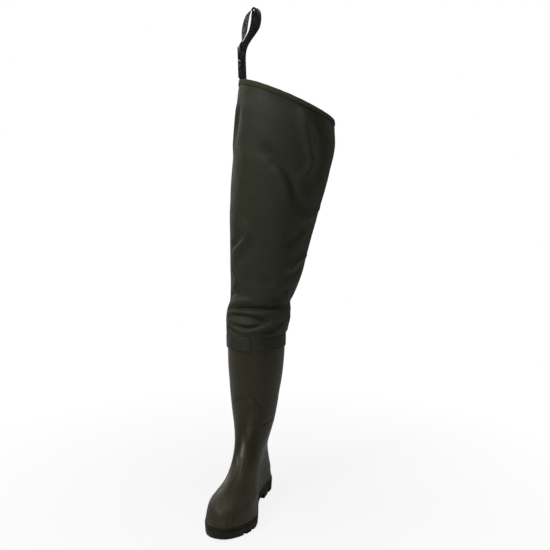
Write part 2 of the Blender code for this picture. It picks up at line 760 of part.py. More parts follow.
def rod(name, radius, length, centre, frame, finish):
    """Round bar lying front to back in the buckle's frame."""
    bm = bmesh.new()
    bmesh.ops.create_cone(bm, segments=12, radius1=radius, radius2=radius, depth=length, cap_ends=True)
    bmesh.ops.rotate(bm, matrix=Matrix.Rotation(math.radians(90.0), 3, "X"), verts=bm.verts)
    bmesh.ops.translate(bm, vec=centre, verts=bm.verts)
    piece = add_object(name, bm, finish)
    piece.parent = frame
    return piece


def combine(target, tool, operation):
    """Cut or join a tool into a target; the tool itself stays a guide."""
    tool.hide_render = True
    tool.display_type = "WIRE"
    step = target.modifiers.new(tool.name, "BOOLEAN")
    step.operation = operation
    step.object = tool
    step.solver = "EXACT"


def build_buckle(finish):
    """Side-release buckle, fastened: a socket round the tab and prongs on the belt strap."""
    frame = bpy.data.objects.new("buckle_frame", None)
    bpy.context.collection.objects.link(frame)
    side, height = bar_place(0.0)
    frame.location = (side, corner().y, corner().z + height)
    frame.rotation_euler = (0.0, -BUCKLE_LEAN, 0.0)
    slot = BAR_RADIUS + GAP + WEBBING_THICK + WEBBING_ROOM
    gate = BUCKLE_WIDTH - 2 * CHEEK
    foot = -BAR_RADIUS - BAR_COVER
    length = SOCKET_TOP - foot

    socket = block("buckle_female", (BUCKLE_THICK, BUCKLE_WIDTH, length),
                   (0.0, 0.0, foot + length / 2), BUCKLE_EDGE, frame, finish)
    mouth_depth = SOCKET_TOP - slot - SHELL
    inside = (BUCKLE_THICK - 2 * SHELL, gate, 2 * mouth_depth)
    combine(socket, block("socket_mouth", inside, (0.0, 0.0, SOCKET_TOP), 0.0, frame, finish), "DIFFERENCE")
    window = (WINDOW_DEPTH, 2 * BUCKLE_WIDTH, WINDOW_HEIGHT)
    combine(socket, block("side_windows", window, (0.0, 0.0, WINDOW_MIDDLE), 0.0, frame, finish), "DIFFERENCE")
    notch = (2 * BUCKLE_THICK, gate, 2 * slot)
    combine(socket, block("tab_notch", notch, (0.0, 0.0, 0.0), 0.0, frame, finish), "DIFFERENCE")
    combine(socket, rod("tab_bar", BAR_RADIUS, gate + CHEEK, (0.0, 0.0, 0.0), frame, finish), "UNION")

    head = PRONG_BAR + BAR_RADIUS + BAR_COVER
    collar = block("buckle_male", (BUCKLE_THICK, BUCKLE_WIDTH, head - PRONG_FOOT),
                   (0.0, 0.0, (head + PRONG_FOOT) / 2), BUCKLE_EDGE, frame, finish)
    opening = (2 * BUCKLE_THICK, gate, 2 * (head - COLLAR_TOP))
    combine(collar, block("strap_notch", opening, (0.0, 0.0, head), 0.0, frame, finish), "DIFFERENCE")
    combine(collar, rod("strap_bar", BAR_RADIUS, gate + CHEEK, (0.0, 0.0, PRONG_BAR), frame, finish), "UNION")
    root = PRONG_FOOT + ARM_ROOT
    reach = PRONG_DEPTH + ARM_ROOT
    middle = root - reach / 2
    tongue_length = reach * TONGUE_SHARE
    tongue = block("tongue", (TONGUE_THICK, TONGUE_WIDTH, tongue_length),
                   (0.0, 0.0, root - tongue_length / 2), 0.0, frame, finish)
    combine(collar, tongue, "UNION")
    for end in (-1, 1):
        arm_y = end * (gate / 2 - ARM_WIDTH / 2 - 2 * GAP)
        arm = block(f"arm_{end + 1}", (GRIP_DEPTH, ARM_WIDTH, reach), (0.0, arm_y, middle), 0.0, frame, finish)
        combine(collar, arm, "UNION")
        grip_y = end * (BUCKLE_WIDTH / 2 - GRIP_WIDTH / 2)
        grip = block(f"grip_{end + 1}", (GRIP_DEPTH + 2 * GAP, GRIP_WIDTH, WINDOW_HEIGHT - 4 * GAP),
                     (0.0, grip_y, WINDOW_MIDDLE), 0.0, frame, finish)
        combine(collar, grip, "UNION")


def main():
    """Clear the scene and build the wader."""
    for old in list(bpy.data.objects):
        bpy.data.objects.remove(old)
    boot_pvc = material("boot_pvc", (0.030, 0.027, 0.017), 0.42)
    sole_pvc = material("sole_pvc", (0.016, 0.014, 0.010), 0.55)
    footbed = material("footbed", (0.020, 0.020, 0.018), 0.9)
    coated_fabric = material("coated_fabric", (0.036, 0.037, 0.026), 0.6)
    binding_tape = material("binding_tape", (0.054, 0.048, 0.018), 0.7)
    webbing = material("webbing", (0.010, 0.008, 0.008), 0.75)
    buckle_plastic = material("buckle_plastic", (0.012, 0.012, 0.012), 0.35)
    build_outsole(sole_pvc)
    build_boot(boot_pvc)
    build_insole(footbed)
    build_leg(coated_fabric)
    build_binding(binding_tape)
    build_tab(webbing)
    build_belt_strap(webbing)
    build_buckle(buckle_plastic)


main()
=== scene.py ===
"""Looks of a right hip wader: moulded boot, coated-fabric leg, bound top, belt strap and buckle.

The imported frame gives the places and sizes. Lengths are in metres. Turns are counted round the
leg from the back (0), over the inner side (90) and the front (180) to the outer side (270).
"""
from __future__ import annotations

import functools
import logging
import math
from dataclasses import dataclass, field
from enum import Enum
from typing import NamedTuple

import bmesh
import bpy
import numpy as np
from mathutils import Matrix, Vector, noise

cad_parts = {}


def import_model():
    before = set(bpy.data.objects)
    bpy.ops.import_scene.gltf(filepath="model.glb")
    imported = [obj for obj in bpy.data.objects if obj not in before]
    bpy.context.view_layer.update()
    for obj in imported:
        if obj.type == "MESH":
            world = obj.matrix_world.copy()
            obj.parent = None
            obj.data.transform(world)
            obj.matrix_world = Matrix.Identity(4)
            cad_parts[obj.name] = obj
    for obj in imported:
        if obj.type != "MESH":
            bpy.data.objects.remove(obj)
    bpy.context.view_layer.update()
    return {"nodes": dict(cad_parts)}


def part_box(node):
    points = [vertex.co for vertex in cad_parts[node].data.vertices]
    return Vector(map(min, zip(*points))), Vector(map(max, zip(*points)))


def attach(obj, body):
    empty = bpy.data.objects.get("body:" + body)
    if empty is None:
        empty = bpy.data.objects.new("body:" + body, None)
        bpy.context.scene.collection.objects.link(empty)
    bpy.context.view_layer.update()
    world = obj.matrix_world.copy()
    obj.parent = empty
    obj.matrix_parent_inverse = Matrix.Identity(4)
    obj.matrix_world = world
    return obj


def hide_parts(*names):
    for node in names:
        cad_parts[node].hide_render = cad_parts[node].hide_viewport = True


LOG = logging.getLogger("hip_wader")
BODY = "root"
WAVE_PERIOD = 2.0 * math.pi / 20.0  # length of one band of a wave texture of scale 1
OUTER_SIDE = 1.5 * math.pi          # turn of the outer side in radians
GAP = 0.0003                        # clearance between touching pieces
SINK = 0.0001                       # how deep ribs and stitches sink into what carries them
MERGE = 0.00001                     # points of a CAD mesh closer than this are one
FLAT_BEND = 1.0                     # bend in degrees up to which CAD faces are one
SHADE_BEND = 40.0                   # bend in degrees from which an edge shades sharp
Colour = tuple[float, float, float]
Point = tuple[float, float, float]
Socket = bpy.types.NodeSocket


class SoleRow(NamedTuple):
    """Half widths of the sole at one share of its length, in shares of the ball width."""

    along: float
    outer: float
    inner: float


class BootRow(NamedTuple):
    """One ring of the boot, in shares of the foot's length, boot's height and ball width."""

    along: float
    back: float
    back_height: float
    front: float
    front_height: float
    outer: float
    inner: float
    oval: float
    shift: float


class LegRow(NamedTuple):
    """One ring of the leg, in shares of the thigh width."""

    along: float
    middle_x: float
    middle_y: float
    half_x: float
    half_y: float


class StrapRow(NamedTuple):
    """A point of the belt strap beside the outer corner: X, height and twist in degrees."""

    side: float
    height: float
    twist: float


class Fold(Enum):
    """How a crease's cross section looks."""

    SOFT = "soft"
    SHARP = "sharp"


class Crease(NamedTuple):
    """A trough (depth below 0) or ridge along knots of (turn in degrees, height)."""

    depth: float
    above: float
    below: float
    fold: Fold
    knots: list[tuple[float, float]]


def crease(depth: float, above: float, below: float, *knots: tuple[float, float],
           fold: Fold = Fold.SOFT) -> Crease:
    """Crease from tenths of a millimetre, with its knots' heights in millimetres.

    Args:
        depth: how far it stands proud, or lies in if below 0.
        above: reach of its upper side.
        below: reach of its lower side.
        knots: turn and height of each point that it runs through.
        fold: its cross section.

    Returns:
        The crease in metres.
    """
    sizes = (size / 10000 for size in (depth, above, below))
    return Crease(*sizes, fold, [(turn, height / 1000) for turn, height in knots])


# Rings of the boot as (from, to, count) along it, close together at the rand's edge.
BOOT_RINGS = ((0.0, 0.110, 16), (0.113, 0.130, 14), (0.136, 0.5, 66), (0.508, 1.0, 60))
# Heights of the weld band's pressed ribs above its lower edge.
RIB_HEIGHTS = (0.0022, 0.0064, 0.0106, 0.0148, 0.0190, 0.0232, 0.0274)
# Slow unevenness of the cloth as (height, scale, seed).
SWELLS = ((0.0016, 11.0, 8.0), (0.0007, 31.0, 5.0))

SOLE_OUTLINE = tuple(map(SoleRow._make, (
    (0, 0.325, 0.262), (0.12, 0.346, 0.276), (0.26, 0.348, 0.266), (0.4, 0.35, 0.268),
    (0.52, 0.398, 0.345), (0.64, 0.464, 0.455), (0.72, 0.486, 0.5), (0.8, 0.488, 0.468),
    (0.88, 0.472, 0.402), (1, 0.425, 0.33),
)))
BOOT_ROWS = tuple(map(BootRow._make, (
    (0, 0.129, 0.075, -0.86, 0.083, 0.486, 0.486, 0, 0),
    (0.05, 0.132, 0.106, -0.862, 0.115, 0.49, 0.494, 0, 0),
    (0.1, 0.137, 0.138, -0.848, 0.146, 0.466, 0.486, 0.03, 0),
    (0.15, 0.138, 0.168, -0.806, 0.175, 0.402, 0.434, 0.08, 0),
    (0.2, 0.136, 0.197, -0.733, 0.197, 0.334, 0.376, 0.16, 0),
    (0.26, 0.131, 0.23, -0.627, 0.22, 0.3, 0.332, 0.28, 0),
    (0.32, 0.124, 0.264, -0.517, 0.255, 0.304, 0.304, 0.46, -0.001),
    (0.38, 0.118, 0.301, -0.423, 0.3, 0.322, 0.296, 0.66, -0.002),
    (0.44, 0.114, 0.344, -0.35, 0.358, 0.35, 0.322, 0.86, -0.003),
    (0.5, 0.116, 0.394, -0.302, 0.425, 0.392, 0.376, 0.96, -0.004),
    (0.57, 0.124, 0.456, -0.275, 0.498, 0.44, 0.436, 1, -0.0045),
    (0.64, 0.14, 0.53, -0.264, 0.575, 0.49, 0.484, 1, -0.005),
    (0.72, 0.166, 0.618, -0.265, 0.66, 0.532, 0.526, 1, -0.005),
    (0.8, 0.196, 0.715, -0.273, 0.748, 0.572, 0.566, 1, -0.004),
    (0.88, 0.216, 0.815, -0.281, 0.837, 0.603, 0.597, 1, -0.0035),
    (0.95, 0.226, 0.92, -0.287, 0.93, 0.617, 0.613, 1, -0.003),
    (1, 0.229, 1, -0.29, 1, 0.623, 0.619, 1, -0.003),
)))
LEG_ROWS = tuple(map(LegRow._make, (
    (0, -0.015, -0.045, 0.34, 0.395), (0.048, -0.01, -0.046, 0.342, 0.394),
    (0.085, -0.002, -0.05, 0.35, 0.396), (0.125, 0.01, -0.055, 0.362, 0.4),
    (0.16, 0.02, -0.058, 0.356, 0.392), (0.19, 0.032, -0.056, 0.34, 0.38),
    (0.22, 0.055, -0.05, 0.358, 0.39), (0.29, 0.095, -0.044, 0.394, 0.428),
    (0.38, 0.13, -0.038, 0.425, 0.463), (0.48, 0.165, -0.032, 0.464, 0.503),
    (0.58, 0.2, -0.026, 0.492, 0.538), (0.68, 0.246, -0.018, 0.52, 0.566),
    (0.78, 0.286, -0.008, 0.534, 0.585), (0.88, 0.318, 0.006, 0.546, 0.597),
    (1, 0.33, 0.02, 0.522, 0.585),
)))
BELT_ROWS = tuple(map(StrapRow._make, (
    (-0.0328, 0.008, 0), (-0.0338, 0.024, 0), (-0.0346, 0.044, 0), (-0.035, 0.062, 0),
    (-0.0336, 0.079, -2), (-0.028, 0.093, -4), (-0.0198, 0.105, -7), (-0.0112, 0.117, -14),
    (-0.0048, 0.131, -32), (-0.003, 0.147, -40), (-0.0034, 0.16, -26), (-0.0084, 0.1675, -10),
    (-0.0172, 0.164, -24), (-0.0262, 0.152, -46), (-0.0316, 0.135, -56), (-0.0344, 0.118, -56),
    (-0.0376, 0.103, -34), (-0.0415, 0.09, -2),
)))
TAIL_ROWS = tuple(map(StrapRow._make, (
    (-0.0364, 0.089, 0), (-0.0322, 0.0962, 0), (-0.0262, 0.1055, 0), (-0.0202, 0.1155, 0),
    (-0.0168, 0.127, 0), (-0.0146, 0.139, 0), (-0.0138, 0.15, 0), (-0.0118, 0.1612, 0),
)))
# Creases, in tenths of a millimetre, with knots of degrees and millimetres.
KNEE_CREASES = (
    crease(-96, 34, 65, (222, 434), (210, 438), (196, 440), (173, 441), (150, 441.5), (135, 442),
           (116, 446), (100, 453), fold=Fold.SHARP),
    crease(44, 55, 50, (240, 416), (222, 425), (196, 431), (171, 431), (150, 428), (132, 423)),
    crease(-77, 34, 55, (226, 419), (212, 424), (197, 425), (171, 421), (149, 414), (136, 408),
           fold=Fold.SHARP),
    crease(30, 45, 45, (232, 412), (214, 411), (190, 406), (168, 405), (146, 409)),
    crease(-44, 45, 50, (216, 402), (200, 399), (180, 398), (162, 402), (146, 407)),
    crease(42, 50, 55, (244, 410), (230, 405), (206, 396), (182, 389), (160, 394), (140, 402),
           (122, 418), (108, 434)),
    crease(-58, 58, 70, (160, 384), (144, 386), (128, 393), (114, 402), (100, 412)),
    crease(-56, 60, 60, (240, 396), (222, 390), (206, 385), (190, 382)),
    crease(-52, 60, 90, (246, 458), (234, 466), (220, 471), (205, 475), (188, 475)),
    crease(-64, 50, 60, (146, 462), (129, 457), (114, 454), fold=Fold.SHARP),
    crease(54, 80, 80, (120, 476), (111, 460), (112, 440)),
    crease(42, 70, 70, (240, 428), (226, 441), (208, 451), (190, 456), (168, 454)),
)
BACK_OF_KNEE_CREASES = (
    crease(-84, 36, 65, (58, 452), (30, 445), (2, 438), (334, 436), (304, 440), (276, 447),
           fold=Fold.SHARP),
    crease(51, 55, 55, (74, 434), (40, 430), (8, 426), (332, 425), (300, 430), (268, 436)),
    crease(-75, 36, 60, (88, 424), (50, 419), (18, 411), (346, 409), (316, 416), (290, 421),
           fold=Fold.SHARP),
    crease(45, 50, 55, (62, 405), (28, 400), (354, 395), (318, 401), (284, 410)),
    crease(-51, 60, 60, (34, 388), (6, 383), (338, 386), (308, 392)),
    crease(-54, 60, 90, (40, 472), (14, 466), (346, 462), (312, 468), (282, 474)),
)
THIGH_CREASES = (
    crease(75, 110, 110, (150, 884), (148, 852), (144, 832), (139, 801), (134, 777), (130, 757),
           (130, 736), (134, 718), (132, 696)),
    crease(-85, 190, 190, (132, 862), (126, 836), (119, 800), (112, 766), (112, 740), (116, 712),
           (112, 686)),
    crease(-70, 110, 130, (196, 786), (185, 775), (174, 766), (164, 748), (149, 716), (138, 680),
           (122, 652), (112, 640)),
    crease(40, 110, 110, (176, 742), (162, 722), (150, 690), (142, 664)),
    crease(50, 80, 90, (136, 637), (122, 633), (106, 640), (92, 656), (80, 668)),
    crease(-60, 110, 110, (146, 572), (131, 588), (118, 604), (106, 616)),
    crease(56, 60, 90, (132, 519), (123, 528), (112, 541), (94, 553), (80, 558)),
    crease(-50, 90, 100, (140, 512), (122, 508), (104, 516), (90, 528)),
    crease(34, 70, 70, (236, 902), (239, 860), (243, 810), (244, 762)),
    crease(-30, 100, 100, (227, 890), (230, 840), (233, 780)),
    crease(42, 80, 80, (214, 640), (202, 624), (195, 603), (202, 582), (218, 565), (236, 548)),
    crease(-52, 90, 90, (222, 622), (212, 602), (218, 584), (234, 572)),
    crease(-46, 110, 110, (184, 598), (192, 570), (206, 548), (222, 532)),
    crease(50, 80, 90, (240, 536), (222, 522), (212, 502), (218, 484), (230, 474)),
    crease(-40, 120, 120, (200, 512), (180, 500), (160, 496), (144, 490)),
)
BACK_OF_THIGH_CREASES = (
    crease(-75, 160, 160, (44, 812), (24, 765), (4, 722), (348, 690)),
    crease(54, 130, 130, (24, 812), (4, 770), (346, 732)),
    crease(-69, 150, 150, (300, 862), (318, 806), (330, 752)),
    crease(51, 120, 120, (306, 700), (292, 652), (282, 612), (276, 570)),
    crease(-60, 140, 140, (62, 640), (40, 604), (20, 575), (0, 556)),
    crease(-54, 120, 120, (330, 600), (310, 560), (292, 534), (272, 518)),
    crease(45, 110, 110, (30, 540), (10, 518), (346, 508), (322, 512)),
    crease(-60, 100, 120, (66, 520), (42, 502), (16, 490)),
)
BOOT_CREASES = (
    crease(9, 16, 16, (178, 345), (178, 310), (177, 270), (176, 225), (176, 180), (177, 150)),
    crease(-24, 14, 45, (224, 210), (214, 228), (196, 240), (176, 240.5), (156, 233), (138, 217),
           (126, 196)),
    crease(-34, 14, 30, (144, 178), (126, 178.5), (108, 181), (90, 184), fold=Fold.SHARP),
    crease(9, 24, 24, (200, 128), (198, 116), (194, 104), (190, 94)),
    crease(9, 22, 22, (174, 126), (171, 114), (168, 102), (166, 94)),
    crease(-9, 60, 60, (66, 132), (40, 126), (12, 128)),
    crease(-8, 60, 60, (300, 130), (326, 124), (352, 127)),
)


def ease(value: np.ndarray | float) -> np.ndarray:
    """Smooth step from 0 to 1."""
    share = np.clip(value, 0.0, 1.0)
    return share * share * (3.0 - 2.0 * share)


def turns(count: int) -> np.ndarray:
    """Even turns all the way round, in radians."""
    return np.linspace(0.0, 2.0 * math.pi, count, endpoint=False)


class Sections:
    """Smooth curves through the named columns of a table of rows."""

    def __init__(self, rows: tuple) -> None:
        """Keep named rows, whose first column is their place along the form."""
        self.rows = rows
        self.keys = np.array([row.along for row in rows])

    def at(self, column: str, along: np.ndarray | float) -> np.ndarray:
        """Values of a column.

        Args:
            column: the column's name.
            along: places along the rows.

        Returns:
            The values on a smooth curve that doesn't overshoot.
        """
        keys = self.keys
        values = np.array([getattr(row, column) for row in self.rows])
        steps = np.diff(values) / np.diff(keys)
        product = steps[:-1] * steps[1:]
        total = np.where(product > 0.0, steps[:-1] + steps[1:], 1.0)
        inside = np.where(product > 0.0, 2.0 * product / total, 0.0)
        slopes = np.concatenate(([steps[0]], inside, [steps[-1]]))
        place = np.clip(along, keys[0], keys[-1])
        cell = np.clip(np.searchsorted(keys, place, side="right") - 1, 0, len(keys) - 2)
        width = keys[cell + 1] - keys[cell]
        share = (place - keys[cell]) / width
        square = share * share
        cube = square * share
        return (values[cell] * (2 * cube - 3 * square + 1)
                + slopes[cell] * width * (cube - 2 * square + share)
                + values[cell + 1] * (3 * square - 2 * cube)
                + slopes[cell + 1] * width * (cube - square))


class Graph:
    """A node tree written down as calls."""

    def __init__(self, tree: bpy.types.NodeTree) -> None:
        """Keep the tree that the nodes go into."""
        self.tree = tree

    def plug(self, node: bpy.types.Node, **inputs: object) -> bpy.types.Node:
        """Fill a node's inputs.

        Args:
            node: the node.
            inputs: sockets or plain values by the input's name, or by its place as in0, in1.

        Returns:
            The same node.
        """
        for name, value in inputs.items():
            by_place = name.startswith("in") and name[2:].isdigit()
            socket = node.inputs[int(name[2:]) if by_place else name.replace("_", " ")]
            if isinstance(value, Socket):
                self.tree.links.new(value, socket)
            else:
                socket.default_value = value
        return node

    def node(self, kind: str, settings: dict | None = None, **inputs: object) -> bpy.types.Node:
        """Add a node.

        Args:
            kind: the node's type.
            settings: the node's own properties.
            inputs: its inputs, as plug() takes them.

        Returns:
            The new node.
        """
        made = self.tree.nodes.new(kind)
        for name, value in (settings or {}).items():
            setattr(made, name, value)
        return self.plug(made, **inputs)

    def math(self, operation: str, first: object, second: object = 0.0) -> Socket:
        """Result of a Math node."""
        settings = {"operation": operation}
        return self.node("ShaderNodeMath", settings, in0=first, in1=second).outputs[0]


class Grain(NamedTuple):
    """Relief of a noise: its scale, detail and depth."""

    scale: float
    detail: float
    depth: float


class Spots(NamedTuple):
    """Scattered spots of a noise: its scale and detail, and how its middle is spread."""

    scale: float
    detail: float
    low: float
    high: float
    soft: float


class Shader(Graph):
    """Material graph with the patterns that the finishes share."""

    def __init__(self, name: str) -> None:
        """Start a material of a name."""
        self.material = bpy.data.materials.new(name)
        self.material.use_nodes = True
        super().__init__(self.material.node_tree)
        self.surface = self.tree.nodes["Principled BSDF"]
        coordinates = self.node("ShaderNodeTexCoord")
        self.place = coordinates.outputs["Object"]
        self.flat = coordinates.outputs["UV"]

    def cloud(self, scale: float, detail: float = 3.0) -> Socket:
        """Noise value between 0 and 1 over the object's own place."""
        made = self.node("ShaderNodeTexNoise", Vector=self.place, Scale=scale, Detail=detail)
        return made.outputs["Fac"]

    def bands(self, pitch: float, direction: str, wobble: float = 0.0) -> Socket:
        """Bands of a pitch along the piece's own UV map."""
        made = self.node("ShaderNodeTexWave", {"bands_direction": direction}, Vector=self.flat,
                         Scale=WAVE_PERIOD / pitch, Distortion=wobble, Detail=1.0)
        return made.outputs["Fac"]

    def spread(self, value: object, low: float, high: float, soft: float) -> Socket:
        """Noise stretched from its middle range to a range of its own."""
        made = self.node("ShaderNodeMapRange", Value=value, From_Min=0.5 - soft / 2,
                         From_Max=0.5 + soft / 2, To_Min=low, To_Max=high)
        return made.outputs["Result"]

    def scatter(self, spots: Spots) -> Socket:
        """Share of scattered spots, at least 0."""
        noisy = self.cloud(spots.scale, spots.detail)
        return self.math("MAXIMUM", self.spread(noisy, spots.low, spots.high, spots.soft), 0.0)

    def blend(self, share: object, first: object, second: object) -> Socket:
        """Mix of two colours by a share."""
        sides = [value if isinstance(value, Socket) else (*value, 1.0)
                 for value in (first, second)]
        return self.node("ShaderNodeMix", {"data_type": "RGBA"}, in0=share, in6=sides[0],
                         in7=sides[1]).outputs[2]

    def bump(self, height: object, depth: float, normal: Socket | None = None) -> Socket:
        """Relief of a depth on top of another normal."""
        below = {"Normal": normal} if normal else {}
        made = self.node("ShaderNodeBump", Height=height, Distance=depth, Strength=1.0, **below)
        return made.outputs["Normal"]

    def rough(self, grain: Grain, normal: Socket | None = None) -> Socket:
        """Noisy relief on top of another normal."""
        return self.bump(self.cloud(grain.scale, grain.detail), grain.depth, normal)


@dataclass(frozen=True)
class Finish:
    """A surface: two close colours, gloss and relief."""

    name: str
    colour: Colour
    second: Colour
    roughness: float
    specular: float = 0.5
    tint: Colour = (1.0, 1.0, 1.0)
    cloud_scale: float = 9.0
    gloss_spread: float = 0.06
    patches: float = 7.0
    grain: Grain = Grain(700.0, 2.0, 0.00006)

    def build(self) -> bpy.types.Material:
        """Make the material.

        Returns:
            The procedural material of this finish.
        """
        shader = Shader(self.name)
        cloud = shader.spread(shader.cloud(self.cloud_scale), 0.0, 1.0, 0.35)
        shader.plug(shader.surface, Specular_IOR_Level=self.specular,
                    Specular_Tint=(*self.tint, 1.0), Base_Color=self.tone(shader, cloud),
                    Roughness=self.gloss(shader), Normal=self.relief(shader))
        shader.material.diffuse_color = (*self.colour, 1.0)
        return shader.material

    def tone(self, shader: Shader, cloud: Socket) -> Socket:
        """Colour of the surface from its slow clouds."""
        return shader.blend(cloud, self.colour, self.second)

    def gloss(self, shader: Shader) -> Socket:
        """Roughness with slow patches."""
        return shader.spread(shader.cloud(self.cloud_scale * self.patches, 4.0),
                             self.roughness - self.gloss_spread,
                             self.roughness + self.gloss_spread, 0.4)

    def relief(self, shader: Shader) -> Socket:
        """Normal of the surface: a plain fine grain."""
        return shader.rough(self.grain)


@dataclass(frozen=True)
class CoatedFabric(Finish):
    """Coated cloth whose weave shows faintly through its skin."""

    grain: Grain = Grain(1400.0, 2.0, 0.00005)
    swell: Grain = Grain(38.0, 4.0, 0.0009)
    weave: float = 0.0011
    weave_depth: float = 0.00007

    def relief(self, shader: Shader) -> Socket:
        """Woven threads under a slightly uneven coat."""
        threads = shader.math("ADD", *(shader.bands(self.weave, axis) for axis in "XY"))
        return shader.rough(self.grain,
                            shader.bump(threads, self.weave_depth, shader.rough(self.swell)))


@dataclass(frozen=True)
class MouldedPvc(Finish):
    """Moulded PVC with a faint orange peel, rubbed lighter in patches."""

    swell: Grain = Grain(26.0, 2.0, 0.0007)
    peel: float = 320.0
    peel_depth: float = 0.00009
    rub: Colour = (0.05, 0.05, 0.04)
    rubs: Spots = Spots(85.0, 6.0, -1.2, 0.55, 0.45)

    def tone(self, shader: Shader, cloud: Socket) -> Socket:
        """Mottled colour with small pale rubs."""
        return shader.blend(shader.scatter(self.rubs), super().tone(shader, cloud), self.rub)

    def relief(self, shader: Shader) -> Socket:
        """Orange peel over slow waves of the mould."""
        return shader.rough(Grain(self.peel, 3.0, self.peel_depth), shader.rough(self.swell))


@dataclass(frozen=True)
class ScuffAndSheenPvc(MouldedPvc):
    """Moulded PVC that is rubbed dull and paler towards the toe; the pale scuffs are wear and
    partly a painted highlight on the toe.
    """

    wear_and_sheen_start: float = -0.195
    wear_and_sheen_full: float = -0.238
    worn_dull: float = 0.21
    # Pale scuff colour: partly wear and partly a painted highlight on the toe.
    scuff_and_sheen: Colour = (0.052, 0.051, 0.039)
    scuff_and_sheen_spots: Spots = Spots(190.0, 5.0, -0.5, 0.8, 0.4)

    def wear_and_sheen(self, shader: Shader) -> Socket:
        """Share of wear and of painted highlight, from none at the vamp to full at the toe."""
        axes = shader.node("ShaderNodeSeparateXYZ", Vector=shader.place)
        return shader.node("ShaderNodeMapRange", Value=axes.outputs["Y"],
                           From_Min=self.wear_and_sheen_start, From_Max=self.wear_and_sheen_full).outputs["Result"]

    def gloss(self, shader: Shader) -> Socket:
        """Roughness that grows with the wear."""
        dull = shader.math("MULTIPLY", self.wear_and_sheen(shader), self.worn_dull)
        return shader.math("ADD", super().gloss(shader), dull)

    def tone(self, shader: Shader, cloud: Socket) -> Socket:
        """Mottled colour with small pale scuffs at the toe: wear, and partly a painted highlight.
        """
        share = shader.math("MULTIPLY", shader.scatter(self.scuff_and_sheen_spots), self.wear_and_sheen(shader))
        return shader.blend(share, super().tone(shader, cloud), self.scuff_and_sheen)


@dataclass(frozen=True)
class WovenTape(Finish):
    """Narrow woven tape: ribs across it and threads along it, with painted shade in the grooves
    between the ribs.
    """

    grain: Grain = Grain(1800.0, 2.0, 0.00006)
    rib: float = 0.0012
    rib_wobble: float = 0.6
    thread: float = 0.0008
    thread_wobble: float = 0.4
    rib_depth: float = 0.0002
    # Painted shade: the next two values darken the tape's colour in the grooves between the ribs.
    between: float = 0.6
    groove_shade: float = 0.45

    def tone(self, shader: Shader, cloud: Socket) -> Socket:
        """Painted shade: threads darker in the grooves between the ribs, where shade falls."""
        # Painted shade for the grooves, where the rib relief is lowest.
        groove_shade_colour = tuple(self.groove_shade * part for part in self.colour)
        ribs = shader.bands(self.rib, "X", self.rib_wobble)
        return shader.blend(shader.spread(ribs, self.between, 0.0, 1.0),
                            super().tone(shader, cloud), groove_shade_colour)

    def relief(self, shader: Shader) -> Socket:
        """Ribs across and threads along the tape."""
        normal = shader.bump(shader.bands(self.rib, "X", self.rib_wobble), self.rib_depth)
        threads = shader.bands(self.thread, "Y", self.thread_wobble)
        return shader.rough(self.grain, shader.bump(threads, self.rib_depth / 2, normal))


FINISHES = (
    # The boot's toe is painted paler: partly scuffs, partly a painted highlight.
    ScuffAndSheenPvc("boot_pvc", (0.0262, 0.0240, 0.0122), (0.0310, 0.0284, 0.0152), 0.37,
               specular=0.36, tint=(1.0, 0.97, 0.80), rub=(0.040, 0.037, 0.025)),
    MouldedPvc("sole_pvc", (0.0110, 0.0098, 0.0058), (0.0150, 0.0135, 0.0085), 0.54,
               specular=0.26, tint=(1.0, 0.95, 0.78), peel=520.0, rub=(0.028, 0.026, 0.019)),
    CoatedFabric("coated_fabric", (0.0294, 0.0326, 0.0178), (0.0344, 0.0376, 0.0214), 0.54,
                 specular=0.26, cloud_scale=5.0, gloss_spread=0.08),
    CoatedFabric("weld_ribs", (0.0256, 0.0270, 0.0150), (0.0304, 0.0320, 0.0186), 0.45,
                 specular=0.34),
    # Both tapes carry painted shade in the grooves between their ribs.
    WovenTape("binding_tape", (0.0520, 0.0460, 0.0200), (0.0620, 0.0560, 0.0270), 0.72,
              specular=0.25),
    WovenTape("webbing", (0.0060, 0.0026, 0.0028), (0.0092, 0.0038, 0.0040), 0.27,
              specular=0.42, rib=0.0017, thread=0.0010, rib_depth=0.0004),
    MouldedPvc("buckle_plastic", (0.0050, 0.0048, 0.0042), (0.0074, 0.0070, 0.0062), 0.25,
               specular=0.60, peel=900.0, rub=(0.012, 0.012, 0.011)),
    Finish("footbed", (0.0200, 0.0200, 0.0180), (0.0300, 0.0300, 0.0270), 0.92,
           specular=0.15, cloud_scale=60.0),
    Finish("hem_thread", (0.0440, 0.0400, 0.0200), (0.0560, 0.0520, 0.0300), 0.62,
           specular=0.35),
    Finish("strap_thread", (0.0100, 0.0090, 0.0085), (0.0160, 0.0140, 0.0130), 0.55,
           specular=0.45),
)


@functools.cache
def looks() -> dict[str, bpy.types.Material]:
    """Material of each finish by the finish's name, made once."""
    return {finish.name: finish.build() for finish in FINISHES}


def link(name: str, data: object) -> bpy.types.Object:
    """New object in the scene, at the origin."""
    made = bpy.data.objects.new(name, data)
    bpy.context.scene.collection.objects.link(made)
    return made


def show(name: str, mesh: bpy.types.Mesh, finish: str, slot: str, *replaced: str) -> None:
    """Put a finished mesh into the scene as a piece of the wader.

    Args:
        name: the piece's name.
        mesh: its mesh, in the frame's own place.
        finish: its material's name.
        slot: the record's material slot; not used.
        replaced: CAD nodes that the piece stands for.
    """
    mesh.materials.clear()
    mesh.materials.append(looks()[finish])
    piece = link(name, mesh)
    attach(piece, BODY)
    if replaced:
        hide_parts(*replaced)
    LOG.info("%s: %d faces", name, len(mesh.polygons))


def flatten(holder: bpy.types.Object) -> bpy.types.Mesh:
    """Plain mesh of an object after its modifiers. The object goes."""
    bpy.context.view_layer.update()
    depsgraph = bpy.context.evaluated_depsgraph_get()
    mesh = bpy.data.meshes.new_from_object(holder.evaluated_get(depsgraph), depsgraph=depsgraph)
    bpy.data.objects.remove(holder)
    return mesh


